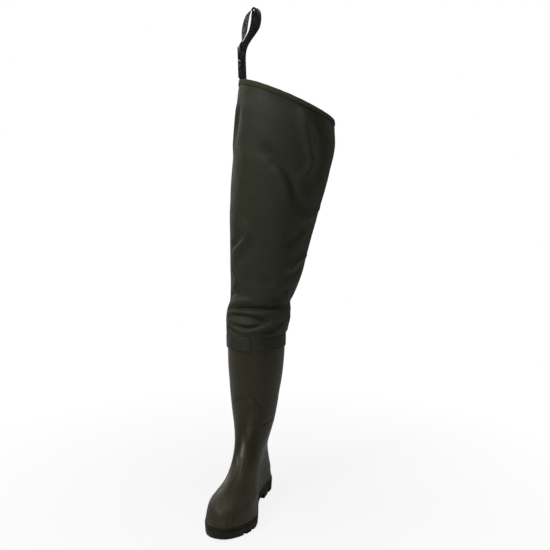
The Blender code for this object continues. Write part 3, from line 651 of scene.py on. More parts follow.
def cells(rows: int, columns: int, ring_rows: bool, ring_columns: bool) -> tuple[np.ndarray, ...]:
    """Faces of a grid of points.

    Args:
        rows: rows of points.
        columns: points in a row.
        ring_rows: whether the last row joins the first.
        ring_columns: whether each row closes on itself.

    Returns:
        The faces' point numbers, rows and columns, each as (faces, 4).
    """
    row, column = np.meshgrid(np.arange(rows if ring_rows else rows - 1),
                              np.arange(columns if ring_columns else columns - 1), indexing="ij")
    row = np.stack([row, row + 1, row + 1, row], -1).reshape(-1, 4)
    column = np.stack([column, column, column + 1, column + 1], -1).reshape(-1, 4)
    return row % rows * columns + column % columns, row, column


def surface_mesh(name: str, points: np.ndarray, faces: list, corners: np.ndarray, mend: bool
                 ) -> bpy.types.Mesh:
    """Smooth mesh with a UV map in metres.

    Args:
        name: the mesh's name.
        points: its points, in any grid.
        faces: point numbers of each face.
        corners: UV place of each corner.
        mend: whether to turn the faces of a closed mesh out.

    Returns:
        The mesh.
    """
    mesh = bpy.data.meshes.new(name)
    mesh.from_pydata(points.reshape(-1, 3).tolist(), [], faces)
    layer = mesh.uv_layers.new(name="flat")
    layer.data.foreach_set("uv", corners.astype(np.float32).ravel())
    if mend:
        bm = bmesh.new()
        bm.from_mesh(mesh)
        bmesh.ops.recalc_face_normals(bm, faces=bm.faces)
        bm.to_mesh(mesh)
        bm.free()
    mesh.shade_smooth()
    return mesh


def shell_mesh(name: str, skins: list[np.ndarray], around: float, up: float) -> bpy.types.Mesh:
    """Closed shell of an outer and an inner skin, each a grid of rings that go round.

    Args:
        name: the mesh's name.
        skins: outer and inner rings as (rings, points, 3).
        around: length of the UV map round the skins.
        up: length of the UV map up the skins.

    Returns:
        The mesh, with its faces pointing out.
    """
    count = skins[0].shape[1]
    faces, corners, starts = [], [], [0]
    for skin, way in zip(skins, (1, -1)):
        quad, ring, place = cells(len(skin), count, False, True)
        corner = np.stack([place * around / count, ring * up / (len(skin) - 1)], -1)
        faces.append(starts[-1] + quad[:, ::way])
        corners.append(corner[:, ::way])
        starts.append(starts[-1] + len(skin) * count)
    place = np.arange(count)
    after = (place + 1) % count
    _, inside, end = starts
    for outer, inner, way in ((0, inside, 1), (inside - count, end - count, -1)):
        rim = np.stack([outer + place, outer + after, inner + after, inner + place], -1)
        faces.append(rim[:, ::way])
        corners.append(np.zeros((count, 4, 2)))
    points = np.concatenate([skin.reshape(-1, 3) for skin in skins])
    return surface_mesh(name, points, np.concatenate(faces).tolist(), np.concatenate(corners),
                        False)


def ring_normals(rings: np.ndarray) -> np.ndarray:
    """Outward unit normals of a grid of rings."""
    around = np.roll(rings, -1, axis=1) - np.roll(rings, 1, axis=1)
    normal = np.cross(np.gradient(rings, axis=0), around)
    normal[[0, -1], :, 2] = 0.0
    return normal / np.maximum(np.linalg.norm(normal, axis=2, keepdims=True), 1e-12)


def smooth_path(rows: list, steps: int) -> np.ndarray:
    """Even curve through points.

    Args:
        rows: the points.
        steps: samples from one point to the next.

    Returns:
        The curve's samples.
    """
    points = np.array([tuple(row) for row in rows])
    ends = np.concatenate([[2 * points[0] - points[1]], points, [2 * points[-1] - points[-2]]])
    made = []
    for index in range(1, len(ends) - 2):
        a, b, c, d = ends[index - 1:index + 3]
        for step in range(steps):
            t = step / steps
            made.append(0.5 * (2 * b + (c - a) * t + (2 * a - 5 * b + 4 * c - d) * t * t
                               + (3 * b - a - 3 * c + d) * t ** 3))
    made.append(points[-1])
    return np.array(made)


def resample(points: np.ndarray, spacing: float) -> np.ndarray:
    """The same path with points at even distances along its first three columns."""
    steps = np.linalg.norm(np.diff(points[:, :3], axis=0), axis=1)
    reach = np.concatenate([[0.0], np.cumsum(steps)])
    places = np.linspace(0.0, reach[-1], max(int(reach[-1] / spacing), 2))
    return np.stack([np.interp(places, reach, column) for column in points.T], -1)


def slow_noise(points: np.ndarray, scale: float, seed: float) -> np.ndarray:
    """Slow noise between -1 and 1 at each point of a grid of rings."""
    away = Vector((seed, 0.0, -seed))
    values = [noise.noise(Vector(point) * scale + away) for point in points.reshape(-1, 3).tolist()]
    return np.array(values).reshape(points.shape[:2])


class Wall:
    """A grid of rings round the leg or boot that creases can be laid on."""

    REACHES = 3.2    # reaches of a crease beyond which it has died out
    SAMPLES = 9      # samples of its path from knot to knot
    TAPER = 0.28     # share of its path over which each end fades
    TIP = 0.25       # rounding of a sharp fold's bottom, in reaches
    FALL = 0.25      # how fast a sharp fold's foot dies out

    def __init__(self, rings: np.ndarray, turn: np.ndarray) -> None:
        """Keep the plain surface's rings.

        Args:
            rings: (rings, points, 3) points.
            turn: the turn of each column in radians.
        """
        self.rings = rings
        self.turns = np.degrees(turn)
        self.normals = ring_normals(rings)

    def place(self, turn: float, height: float) -> np.ndarray:
        """Point of the plain surface at a turn and a height."""
        apart = np.abs((self.turns - turn + 180.0) % 360.0 - 180.0)
        column = self.rings[:, int(np.argmin(apart))]
        return np.array([np.interp(height, column[:, 2], axis) for axis in column.T])

    def lift(self, fold: Crease) -> np.ndarray:
        """How far a crease moves each point of the surface.

        Args:
            fold: the trough or ridge.

        Returns:
            Distances along the normals, one for each point.
        """
        path = smooth_path([self.place(*knot) for knot in fold.knots], self.SAMPLES)
        reach = self.REACHES * max(fold.above, fold.below)
        near = np.all((self.rings >= path.min(0) - reach) & (self.rings <= path.max(0) + reach),
                      axis=2)
        moved = np.zeros(self.rings.shape[:2])
        points = self.rings[near]
        if not len(points):
            return moved
        gaps = points[:, None, :] - path[None, :, :]
        lengths = np.linalg.norm(gaps, axis=2)
        nearest = np.argmin(lengths, axis=1)
        rows = np.arange(len(points))
        over = gaps[rows, nearest, 2] > 0.0
        share = lengths[rows, nearest] / np.where(over, fold.above, fold.below)
        square = share * share
        if fold.fold is Fold.SHARP:
            section = np.exp(self.TIP - np.sqrt(square + self.TIP ** 2) - self.FALL * square)
        else:
            section = np.exp(-square)
        along = nearest / (len(path) - 1)
        taper = ease(np.minimum(along, 1.0 - along) / self.TAPER)
        moved[near] = fold.depth * section * taper
        return moved


@dataclass
class Boot:
    """Moulded boot: foot and shaft in one, with a low rand round the toe."""

    wall: float = 0.0026
    ball_width: float = 0.104
    heel_round: float = 0.125
    toe_round: float = 0.28
    toe_power: float = 2.3
    sole_heel: float = 0.027
    sole_ball: float = 0.021
    toe_spring: float = 0.007
    toe_lift_start: float = 0.80
    waist_start: float = 0.30
    waist_run: float = 0.35
    seat_blend: float = 0.15
    toe_crowd: float = 0.16
    rand_top: float = 0.118
    rand_edge: float = 0.014
    rand_step: float = 0.0006
    rand_rear: float = -0.110
    rand_fade: float = 0.050
    soft_start: float = 0.06
    soft_end: float = 0.40
    soft_fade: float = 0.20
    soft_steps: int = 80
    wave: float = 0.00045
    wave_scale: float = 22.0
    wave_start: float = 0.3
    girth: float = 0.36
    columns: int = 220
    sole: Sections = field(default_factory=lambda: Sections(SOLE_OUTLINE))
    rows: Sections = field(default_factory=lambda: Sections(BOOT_ROWS))

    def __post_init__(self) -> None:
        """Read the driving sizes from the frame."""
        low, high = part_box("outsole")
        self.foot_length = round(high.y - low.y, 4)
        self.heel_back = round(high.y, 4)
        self.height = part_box("boot")[1].z
        self.widest = max(row.inner for row in SOLE_OUTLINE)

    def end_round(self, along: np.ndarray) -> np.ndarray:
        """Share of the full half width left by the rounded heel and toe."""
        back = np.clip(1.0 - along / self.heel_round, 0.0, 1.0)
        heel = np.sqrt(np.maximum(0.0, 1.0 - back ** 2))
        reach = np.clip((along - 1.0 + self.toe_round) / self.toe_round, 0.0, 1.0)
        return heel * np.maximum(0.0, 1.0 - reach ** self.toe_power) ** (1.0 / self.toe_power)

    def sole_top(self, along: np.ndarray) -> np.ndarray:
        """Height of the sole's upper face."""
        drop = ease((along - self.waist_start) / self.waist_run)
        start = self.toe_lift_start
        rise = np.maximum(0.0, (along - start) / (1.0 - start)) ** 2
        return self.sole_heel + (self.sole_ball - self.sole_heel) * drop + self.toe_spring * rise

    def face(self, along: np.ndarray, turn: np.ndarray, grow: float = 0.0) -> np.ndarray:
        """Points of the boot's plain outer face.

        Args:
            along: places from the sole (0) to the collar (1).
            turn: turns in radians.
            grow: distance outwards.

        Returns:
            The points.
        """
        back, back_height, front, front_height, outer, inner, oval, shift = (
            self.rows.at(column, along) for column in BootRow._fields[1:])
        share = 0.5 - 0.5 * np.cos(turn)
        heel = back * self.foot_length + grow
        y = heel + (front * self.foot_length - grow - heel) * share
        sine = np.sin(turn)
        half = np.where(sine > 0.0, inner, outer)
        edge = np.where(sine > 0.0, self.sole.at("inner", share), self.sole.at("outer", share))
        outline = edge / self.widest * self.end_round(share)
        width = (half * self.ball_width + grow) * (outline + (np.abs(sine) - outline) * oval)
        x = shift + np.where(sine > 0.0, width, -width)
        line = self.height * (back_height + (front_height - back_height) * share)
        seat = self.sole_top(np.clip((self.heel_back - y) / self.foot_length, 0.0, 1.0)) + GAP
        low = BOOT_ROWS[0]
        rim = self.height * (low.back_height + (low.front_height - low.back_height) * share)
        z = line + (seat - rim) * (1.0 - ease(along / self.seat_blend))
        return np.stack(np.broadcast_arrays(x, y, z), -1)

    def soften(self, plain: np.ndarray, levels: np.ndarray) -> np.ndarray:
        """Round the bends between the vamp, the sides and the toe.

        Args:
            plain: the boot's plain rings.
            levels: place of each ring from the sole to the collar.

        Returns:
            The softer rings.
        """
        fade = 1.0 - ease((levels - self.soft_end) / self.soft_fade)
        share = (ease(levels / self.soft_start) * fade)[:, None, None]
        soft = plain.copy()
        for _ in range(self.soft_steps):
            around = 0.25 * (np.roll(soft, 1, axis=1) + np.roll(soft, -1, axis=1)) + 0.5 * soft
            blurred = around.copy()
            blurred[1:-1] = 0.25 * (around[:-2] + around[2:]) + 0.5 * around[1:-1]
            soft += (blurred - soft) * share
        return soft

    def build(self) -> None:
        """Model the boot with its rand, soft flex marks and wall."""
        levels = np.concatenate([np.linspace(*span) for span in BOOT_RINGS])
        rise = levels[:, None]
        angle = turns(self.columns)
        turn = angle + self.toe_crowd * np.sin(angle)
        plain = self.soften(self.face(rise, turn[None, :]), levels)
        wall = Wall(plain, turn)
        proud = self.rand_step * ease((self.rand_rear - plain[..., 1]) / self.rand_fade)
        lift = proud * (1.0 - ease((rise - self.rand_top) / self.rand_edge))
        for fold in BOOT_CREASES:
            lift = lift + wall.lift(fold)
        waves = self.wave * slow_noise(plain, self.wave_scale, 3.0)
        lift = lift + waves * ease(rise / self.wave_start)
        inside = plain - wall.normals * self.wall
        skins = [plain + wall.normals * lift[..., None],
                 np.concatenate([inside[::2], inside[-1:]])]
        mesh = shell_mesh("boot_surface", skins, self.girth, self.height)
        show("boot_shell", mesh, "boot_pvc", "boot_pvc", "boot")


@dataclass
class Leg:
    """Coated-fabric tube with its folds, weld band and bound top edge."""

    boot: Boot
    thigh_width: float = 0.200
    top: float = 0.921
    slope_side: float = -0.41
    slope_front: float = -0.06
    slant_power: float = 1.6
    fabric: float = 0.0012
    fabric_around: float = 0.56
    fabric_up: float = 0.60
    columns: int = 300
    rings: int = 200
    ring_power: float = 1.25
    calm_band: float = 0.012
    calm_edge: float = 0.016
    band_height: float = 0.030
    band_raise: float = 0.007
    band_step: float = 0.0006
    band_lip: float = 0.0012
    band_blend: float = 0.014
    band_rings: int = 8
    lap_step: float = 0.0020
    lap_start: float = 169.0
    lap_run: float = 1.3
    lap_end: float = 180.0
    lap_fade: float = 30.0
    sewn_reach: float = 0.012
    sewn_fade: float = 0.018
    sewn_drop: float = 0.055
    sewn_blend: float = 0.022
    rib_radius: float = 0.00085
    binding_depth: float = 0.011
    binding_thick: float = 0.0009
    binding_puff: float = 0.00035
    binding_wave: float = 0.0004
    binding_columns: int = 320
    binding_length: float = 0.66
    binding_width: float = 0.03
    face_wave: float = 0.4
    seam: float = 0.72
    rows: Sections = field(default_factory=lambda: Sections(LEG_ROWS))

    def __post_init__(self) -> None:
        """Read the leg's lower edge from the frame."""
        self.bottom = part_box("leg")[0].z
        self.hem = self.bottom + self.band_raise
        self.fit = GAP + self.fabric

    def face(self, along: np.ndarray | float, turn: np.ndarray | float,
             grow: float = 0.0) -> np.ndarray:
        """Points of the leg's plain outer face.

        Args:
            along: places from the lower edge (0) to the top edge (1).
            turn: turns in radians.
            grow: distance outwards.

        Returns:
            The points.
        """
        middle_x, middle_y, half_x, half_y = (
            self.rows.at(column, along) * self.thigh_width for column in LegRow._fields[1:])
        x = middle_x + (half_x + grow) * np.sin(turn)
        y = middle_y + (half_y + grow) * np.cos(turn)
        slant = (self.slope_side * x + self.slope_front * y) * along ** self.slant_power
        z = self.bottom + (self.top - self.bottom) * along + slant
        return np.stack(np.broadcast_arrays(x, y, z), -1)

    def band_ring(self, height: float, turn: np.ndarray, grow: float) -> np.ndarray:
        """Ring of the boot's shaft at a height, moved out by a distance."""
        column = self.boot.face(np.linspace(0.5, 1.0, 400)[:, None], turn[None, :], grow)
        ring = [[np.interp(height, column[:, index, 2], axis) for axis in column[:, index].T]
                for index in range(len(turn))]
        return np.array(ring) * (1.0, 1.0, 0.0) + (0.0, 0.0, height)

    def band_lap(self, turn: np.ndarray) -> np.ndarray:
        """Step where the weld band's end laps over itself at the front."""
        degrees = np.degrees(turn)
        rise = ease((degrees - self.lap_start) / self.lap_run)
        step = self.lap_step * rise * (1.0 - ease((degrees - self.lap_end) / self.lap_fade))
        return np.stack([np.sin(turn) * step, np.cos(turn) * step, np.zeros_like(turn)], -1)

    def corner(self) -> np.ndarray:
        """High outer corner of the top edge, where the webbing is sewn."""
        return self.face(1.0, OUTER_SIDE)

    def folds(self, plain: np.ndarray, turn: np.ndarray) -> np.ndarray:
        """How far the folds move each point of the wall along its normal."""
        wall = Wall(plain, turn)
        lift = np.zeros(plain.shape[:2])
        for fold in KNEE_CREASES + BACK_OF_KNEE_CREASES + THIGH_CREASES + BACK_OF_THIGH_CREASES:
            lift += wall.lift(fold)
        for height, scale, seed in SWELLS:
            lift += height * slow_noise(plain, scale, seed)
        return lift

    def calm(self, plain: np.ndarray) -> np.ndarray:
        """Share of a fold that is let through at each point of the wall.

        Args:
            plain: the plain rings.

        Returns:
            Shares, which are 0 at the band, the binding and the sewn webbing.
        """
        x, y, height = np.moveaxis(plain, -1, 0)
        share = ease((height - self.hem - self.band_height) / self.calm_band)
        edge = self.top + self.slope_side * x + self.slope_front * y
        share = share * ease((edge - height - self.binding_depth) / self.calm_edge)
        corner = self.corner()
        away = np.hypot(y - corner[1], x - corner[0])
        near = 1.0 - ease((away - self.sewn_reach) / self.sewn_fade)
        high = ease((height - corner[2] + self.sewn_drop) / self.sewn_blend)
        return share * (1.0 - near * high)

    def build(self) -> None:
        """Model the tube, with its band as a step in the wall."""
        turn = turns(self.columns)
        band_top = self.hem + self.band_height
        heights = np.linspace(self.hem, band_top - self.band_lip, self.band_rings)
        lap = self.band_lap(turn)
        band = [self.band_ring(height, turn, self.fit + self.band_step) + lap
                for height in heights]
        lining = [self.band_ring(height, turn, GAP) for height in heights]
        start = (band_top - self.bottom) / (self.top - self.bottom)
        levels = start + (1.0 - start) * np.linspace(0.0, 1.0, self.rings) ** self.ring_power
        plain = self.face(levels[:, None], turn[None, :])
        join = ease((levels - start) / self.band_blend)[:, None, None]
        plain = self.band_ring(band_top, turn, self.fit)[None] * (1.0 - join) + plain * join
        plain[..., 2] = np.maximum(plain[..., 2], band_top)
        lift = self.folds(plain, turn) * self.calm(plain)
        cloth = plain + ring_normals(plain) * lift[..., None]
        inside = cloth - ring_normals(cloth) * self.fabric
        inside[-1] = self.face(1.0, turn, -self.fabric)
        skins = [np.concatenate([band, cloth]), np.concatenate([lining[::2], inside[1::2]])]
        mesh = shell_mesh("leg_surface", skins, self.fabric_around, self.fabric_up)
        show("leg_cloth", mesh, "coated_fabric", "coated_fabric", "leg")
        self.build_weld(turn)
        self.build_binding(turns(self.binding_columns))

    def build_weld(self, turn: np.ndarray) -> None:
        """Ribs pressed round the weld band."""
        grow = self.fit + self.band_step - SINK
        rings = [self.band_ring(self.hem + height, turn, grow) + self.band_lap(turn)
                 for height in RIB_HEIGHTS]
        mesh = RibRecipe("weld_rib_tree").grow(path_mesh("weld_paths", rings, True), "weld_ribs",
                                               Radius=self.rib_radius)
        show("weld_ribs", mesh, "weld_ribs", "coated_fabric")

    def binding_profile(self, span: float) -> list[Point]:
        """Section of the folded tape.

        Args:
            span: the tape's depth as a share of the leg's height.

        Returns:
            Place along the leg, distance outwards and rise of each point.
        """
        inside, out = -(self.fabric + GAP), GAP + self.binding_thick
        shares = np.linspace(0.0, 1.0, 9)
        profile = [(1.0 - span * (1.0 - share),
                    out + self.binding_puff * math.sin(math.pi * share), 0.0) for share in shares]
        middle = (out + inside - self.binding_thick) / 2
        half = (out - inside + self.binding_thick) / 2
        profile += [(1.0, middle + half * math.cos(bend), out * math.sin(bend))
                    for bend in np.linspace(0.0, math.pi, 7)[1:-1]]
        profile += [(1.0 - span * (1.0 - share), inside - self.binding_thick, 0.0)
                    for share in shares[::-1]]
        return profile + [(1.0 - span, inside, 0.0), (1.0, inside, GAP / 2),
                          (1.0, GAP, GAP / 2), (1.0 - span, GAP, 0.0)]

    def build_binding(self, turn: np.ndarray) -> None:
        """Folded tape over the top edge, with a row of stitches on each face."""
        span = self.binding_depth / (self.top - self.bottom)
        wave = self.binding_wave * np.array(
            [noise.noise(Vector((math.sin(a) * 9.0, math.cos(a) * 9.0, 4.0))) for a in turn])
        rings = []
        for along, grow, rise in self.binding_profile(span):
            rings.append(self.face(along, turn, grow))
            rings[-1][:, 2] += rise + wave * (1.0 if rise else self.face_wave)
        faces, row, column = cells(len(rings), len(turn), True, True)
        corners = np.stack([column * self.binding_length / len(turn),
                            row * self.binding_width / len(rings)], -1)
        mesh = surface_mesh("binding_surface", np.array(rings), faces.tolist(), corners, True)
        show("top_tape", mesh, "binding_tape", "binding_tape", "top_binding")
        thick = self.binding_thick
        rows = [self.face(1.0 - self.seam * span, turn, grow)
                for grow in (GAP + thick + 2 * SINK, -(self.fabric + GAP) - thick - SINK)]
        mesh = StitchRecipe("hem_stitch_tree").grow(
            path_mesh("hem_paths", rows, True), "hem_thread",
            Spacing=0.0036, Length=0.0027, Radius=0.00032)
        show("hem_stitches", mesh, "hem_thread", "binding_tape")


def path_mesh(name: str, paths: list[np.ndarray], closed: bool) -> bpy.types.Mesh:
    """Edges along paths, for a recipe to grow on.

    Args:
        name: the mesh's name.
        paths: points of each path.
        closed: whether the paths close on themselves.

    Returns:
        A mesh of edges alone.
    """
    points: list[list[float]] = []
    edges: list[tuple[int, int]] = []
    for path in paths:
        first = len(points)
        points += path.tolist()
        last = len(points) - 1
        edges += [(index, index + 1) for index in range(first, last)]
        if closed:
            edges.append((last, first))
    mesh = bpy.data.meshes.new(name)
    mesh.from_pydata(points, edges, [])
    return mesh


class Recipe(Graph):
    """A geometry node tree with named inputs that grows a mesh on a host mesh."""

    def __init__(self, name: str) -> None:
        """Start a tree of a name and let the kind of recipe fill it."""
        super().__init__(bpy.data.node_groups.new(name, "GeometryNodeTree"))
        for socket, way in (("Geometry", "OUTPUT"), ("Geometry", "INPUT"), ("Material", "INPUT")):
            self.tree.interface.new_socket(socket, in_out=way, socket_type=f"NodeSocket{socket}")
        self.source = self.tree.nodes.new("NodeGroupInput")
        smooth = self.node("GeometryNodeSetShadeSmooth", Geometry=self.shape())
        real = self.node("GeometryNodeRealizeInstances", Geometry=smooth.outputs[0])
        dressed = self.node("GeometryNodeSetMaterial", Geometry=real.outputs[0],
                            Material=self.source.outputs["Material"])
        self.node("NodeGroupOutput", in0=dressed.outputs[0])

    def number(self, name: str) -> Socket:
        """Add a named number to the tree's inputs and return where it comes out."""
        self.tree.interface.new_socket(name, in_out="INPUT", socket_type="NodeSocketFloat")
        return self.source.outputs[name]

    def shape(self) -> Socket:
        """Geometry that the recipe makes."""
        raise NotImplementedError

    def grow(self, host: bpy.types.Mesh, finish: str, **values: float) -> bpy.types.Mesh:
        """Run the tree on a host mesh.

        Args:
            host: the mesh that the tree reads.
            finish: the name of the material that it sets.
            values: the tree's named numbers.

        Returns:
            The plain mesh that came out.
        """
        holder = link(f"{host.name}_host", host)
        modifier = holder.modifiers.new("grow", "NODES")
        modifier.node_group = self.tree
        settings = {**values, "Material": looks()[finish]}
        for item in self.tree.interface.items_tree:
            if item.in_out == "INPUT" and item.name in settings:
                modifier[item.identifier] = settings[item.name]
        return flatten(holder)


class StitchRecipe(Recipe):
    """Stitches laid end to end along paths."""

    def shape(self) -> Socket:
        """One rounded stitch at each step along the path, turned along it."""
        spacing, length, radius = map(self.number, ("Spacing", "Length", "Radius"))
        curve = self.node("GeometryNodeMeshToCurve", Mesh=self.source.outputs["Geometry"])
        even = self.node("GeometryNodeResampleCurve", {"mode": "LENGTH"},
                         Curve=curve.outputs[0], Length=spacing)
        size = self.node("ShaderNodeCombineXYZ", X=self.math("DIVIDE", length, 2.0),
                         Y=radius, Z=radius)
        ball = self.node("GeometryNodeMeshUVSphere", Segments=6, Rings=6, Radius=1.0)
        stitch = self.node("GeometryNodeTransform", Geometry=ball.outputs[0],
                           Scale=size.outputs[0])
        turned = self.node("FunctionNodeAlignRotationToVector", {"axis": "X"},
                           Vector=self.node("GeometryNodeInputTangent").outputs[0])
        return self.node("GeometryNodeInstanceOnPoints", Points=even.outputs[0],
                         Instance=stitch.outputs[0], Rotation=turned.outputs[0]).outputs[0]


class RibRecipe(Recipe):
    """Round ribs swept along paths."""

    def shape(self) -> Socket:
        """A small round section carried along each path."""
        curve = self.node("GeometryNodeMeshToCurve", Mesh=self.source.outputs["Geometry"])
        section = self.node("GeometryNodeCurvePrimitiveCircle", Resolution=8,
                            Radius=self.number("Radius"))
        return self.node("GeometryNodeCurveToMesh", Curve=curve.outputs[0],
                         Profile_Curve=section.outputs[0], Fill_Caps=True).outputs[0]


def trued_copy(node: bpy.types.Object, name: str, edge: float, sharp: float) -> bpy.types.Mesh:
    """Copy of a CAD node's mesh, merged and with its edges rounded.

    Args:
        node: the CAD node.
        name: the new mesh's name.
        edge: rounding of the edges.
        sharp: bend in degrees from which an edge is rounded.

    Returns:
        The new mesh.
    """
    mesh = node.data.copy()
    mesh.name = name
    bm = bmesh.new()
    bm.from_mesh(mesh)
    bmesh.ops.remove_doubles(bm, verts=bm.verts, dist=MERGE)
    bmesh.ops.dissolve_limit(bm, angle_limit=math.radians(FLAT_BEND), verts=bm.verts,
                             edges=bm.edges)
    bm.to_mesh(mesh)
    bm.free()
    holder = link(f"{name}_host", mesh)
    bevel = holder.modifiers.new("edges", "BEVEL")
    bevel.width = edge
    bevel.segments = 2
    bevel.limit_method = "ANGLE"
    bevel.angle_limit = math.radians(sharp)
    bevel.harden_normals = False
    made = flatten(holder)
    made.shade_smooth()
    made.set_sharp_from_angle(angle=math.radians(SHADE_BEND))
    return made


@dataclass
class Sole:
    """Outsole with heel block and cleats, and the footbed that lies on it."""

    edge: float = 0.0006
    sole_bend: float = 34.0
    insole_bend: float = 50.0

    def build(self, nodes: dict) -> None:
        """Dress the sole and the insole from the frame's nodes."""
        sole = trued_copy(nodes["outsole"], "sole_surface", self.edge, self.sole_bend)
        show("sole", sole, "sole_pvc", "sole_pvc", "outsole")
        footbed = trued_copy(nodes["insole"], "footbed_surface", self.edge, self.insole_bend)
        show("footbed", footbed, "footbed", "footbed", "insole")


@dataclass
class Straps:
    """Webbing tab, belt loop and buckle at the high outer corner."""

    leg: Leg
    width: float = 0.020
    thick: float = 0.0018
    overlap: float = 0.026
    edge_round: float = 0.0006
    buckle_foot: float = 0.0168
    buckle_out: float = 0.0018
    buckle_edge: float = 0.00025
    buckle_bend: float = 30.0
    box_inset: float = 0.0025
    box_low: float = 0.0235
    box_high: float = 0.0045
    lean: float = math.radians(1.6)
    bar_radius: float = 0.0021
    prong_bar: float = 0.0636
    rib_pitch: float = 0.0017
    rib_depth: float = 0.00012
    spacing: float = 0.00043

    def sewn(self, offset: float) -> list[np.ndarray]:
        """Route points up the leg's wall to its top edge, offset inwards."""
        return [self.wall_point(drop, offset) for drop in (self.overlap, self.overlap / 2, 0.0)]

    def wall_point(self, drop: float, offset: float) -> np.ndarray:
        """Route point beside the leg's wall, a drop below the corner, offset inwards."""
        leg = self.leg
        point = leg.face(1.0 - drop / (leg.top - leg.bottom), OUTER_SIDE)
        return np.array([point[0] + offset, point[2] - leg.corner()[2], 0.0])

    def round_bar(self, distance: float, start: float, end: float) -> np.ndarray:
        """Route round a bar on the buckle's middle line.

        Args:
            distance: the bar's place up the middle line.
            start: angle in degrees at which the route comes in.
            end: angle at which it leaves.

        Returns:
            Rows of X, height and twist.
        """
        x = self.leg.corner()[0] - self.buckle_out - distance * math.sin(self.lean)
        z = self.buckle_foot + distance * math.cos(self.lean)
        radius = self.bar_radius + GAP + self.thick / 2
        angles = np.radians(np.linspace(start, end, 25))
        return np.stack([x + radius * np.cos(angles), z + radius * np.sin(angles),
                         np.zeros_like(angles)], -1)

    def offsets(self) -> tuple[float, float, float]:
        """How far the tab's two layers and the belt strap lie from the wall's face."""
        leg = self.leg
        tape = GAP + leg.binding_thick + GAP
        top = LEG_ROWS[-1]
        radius = leg.thigh_width * top.half_y ** 2 / top.half_x
        curve = (self.width / 2) ** 2 / (2 * radius) + 2 * GAP
        inner = leg.fabric + tape + curve + self.thick / 2
        return -(tape + self.thick / 2), inner, inner + self.thick + GAP

    def section(self) -> np.ndarray:
        """Points of the webbing's section: place across it, and share of its half thickness."""
        edge = self.width / 2 - self.edge_round
        half = [(edge + self.edge_round * math.cos(bend), math.sin(bend))
                for bend in np.radians([-90, -45, 0, 45, 90])]
        half += [(share * self.width, 1.0) for share in (0.35, 0.18, 0.0, -0.18, -0.35)]
        return np.array(half + [(-side, -rise) for side, rise in half])

    def ribbon(self, name: str, route: np.ndarray) -> bpy.types.Mesh:
        """Webbing along a route, with soft edges and raised ribs across it.

        Args:
            name: the mesh's name.
            route: rows of X, height and twist.

        Returns:
            The mesh, with a UV map in metres.
        """
        corner = self.leg.corner()
        x, height, twist = route.T
        points = np.stack([x, np.full(len(x), corner[1]), corner[2] + height, twist], -1)
        points = resample(points, self.spacing)
        forward = np.gradient(points[:, :3], axis=0)
        forward /= np.linalg.norm(forward, axis=1, keepdims=True)
        across = np.array([0.0, 1.0, 0.0])
        face = np.cross(forward, across)
        turn = np.radians(points[:, 3])[:, None]
        wide = across * np.cos(turn) + face * np.sin(turn)
        flat = face * np.cos(turn) - across * np.sin(turn)
        reach = np.arange(len(points)) * self.spacing
        ribs = self.rib_depth * np.cos(2.0 * math.pi * reach / self.rib_pitch)
        section = self.section()
        rings = []
        for side, rise in section:
            depth = rise * (self.thick / 2 - SINK) + np.sign(rise) * ribs * abs(rise)
            rings.append(points[:, :3] + wide * side + flat * depth[:, None])
        count, length = len(rings), len(points)
        quad, row, column = cells(count, length, True, False)
        starts = np.arange(count) * length
        faces = quad.tolist() + [starts.tolist(), (starts + length - 1)[::-1].tolist()]
        uv = np.stack([column * self.spacing, section[row % count, 0]], -1).reshape(-1, 2)
        return surface_mesh(name, np.array(rings), faces,
                            np.concatenate([uv, np.zeros((2 * count, 2))]), True)

    def build(self, nodes: dict) -> None:
        """Model the tab, the belt strap and the buckle.

        Args:
            nodes: the frame's nodes.
        """
        outer, inner, belt = self.offsets()
        tab = np.concatenate([smooth_path(self.sewn(outer), 8),
                              self.round_bar(0.0, 180.0, 0.0),
                              smooth_path(self.sewn(inner)[::-1], 8)])
        show("webbing_tab", self.ribbon("tab_surface", tab), "webbing", "webbing", "strap_tab")
        loop = np.concatenate([smooth_path([*self.sewn(belt), *BELT_ROWS], 10),
                               self.round_bar(self.prong_bar, 180.0, 360.0),
                               smooth_path(TAIL_ROWS, 10)])
        show("belt_webbing", self.ribbon("belt_surface", loop), "webbing", "webbing",
             "belt_strap")
        self.stitch_boxes(outer)
        for node, name in (("buckle_female", "buckle_socket"), ("buckle_male", "buckle_prongs")):
            mesh = trued_copy(nodes[node], f"{name}_surface", self.buckle_edge, self.buckle_bend)
            show(name, mesh, "buckle_plastic", "buckle_plastic", node)

    def stitch_boxes(self, outer: float) -> None:
        """Box of stitches with a cross that holds the webbing on the leg."""
        corner = self.leg.corner()
        half = self.width / 2 - self.box_inset
        face = outer - self.thick / 2 - SINK
        low, high = (self.wall_point(drop, face) for drop in (self.box_low, self.box_high))
        spots = ((low, -half), (low, half), (high, half), (high, -half), (low, -half),
                 (high, half), (high, -half), (low, half))
        path = np.array([[row[0], corner[1] + side, corner[2] + row[1]] for row, side in spots])
        mesh = StitchRecipe("box_stitch_tree").grow(
            path_mesh("box_paths", [path], False), "strap_thread",
            Spacing=0.0026, Length=0.0021, Radius=0.00030)
        show("box_stitches", mesh, "strap_thread", "webbing")


class Lamp(NamedTuple):
    """A soft area light: where it stands, what it faces, its size and its power in watts."""

    name: str
    place: Point
    aim: Point
    width: float
    height: float
    power: float


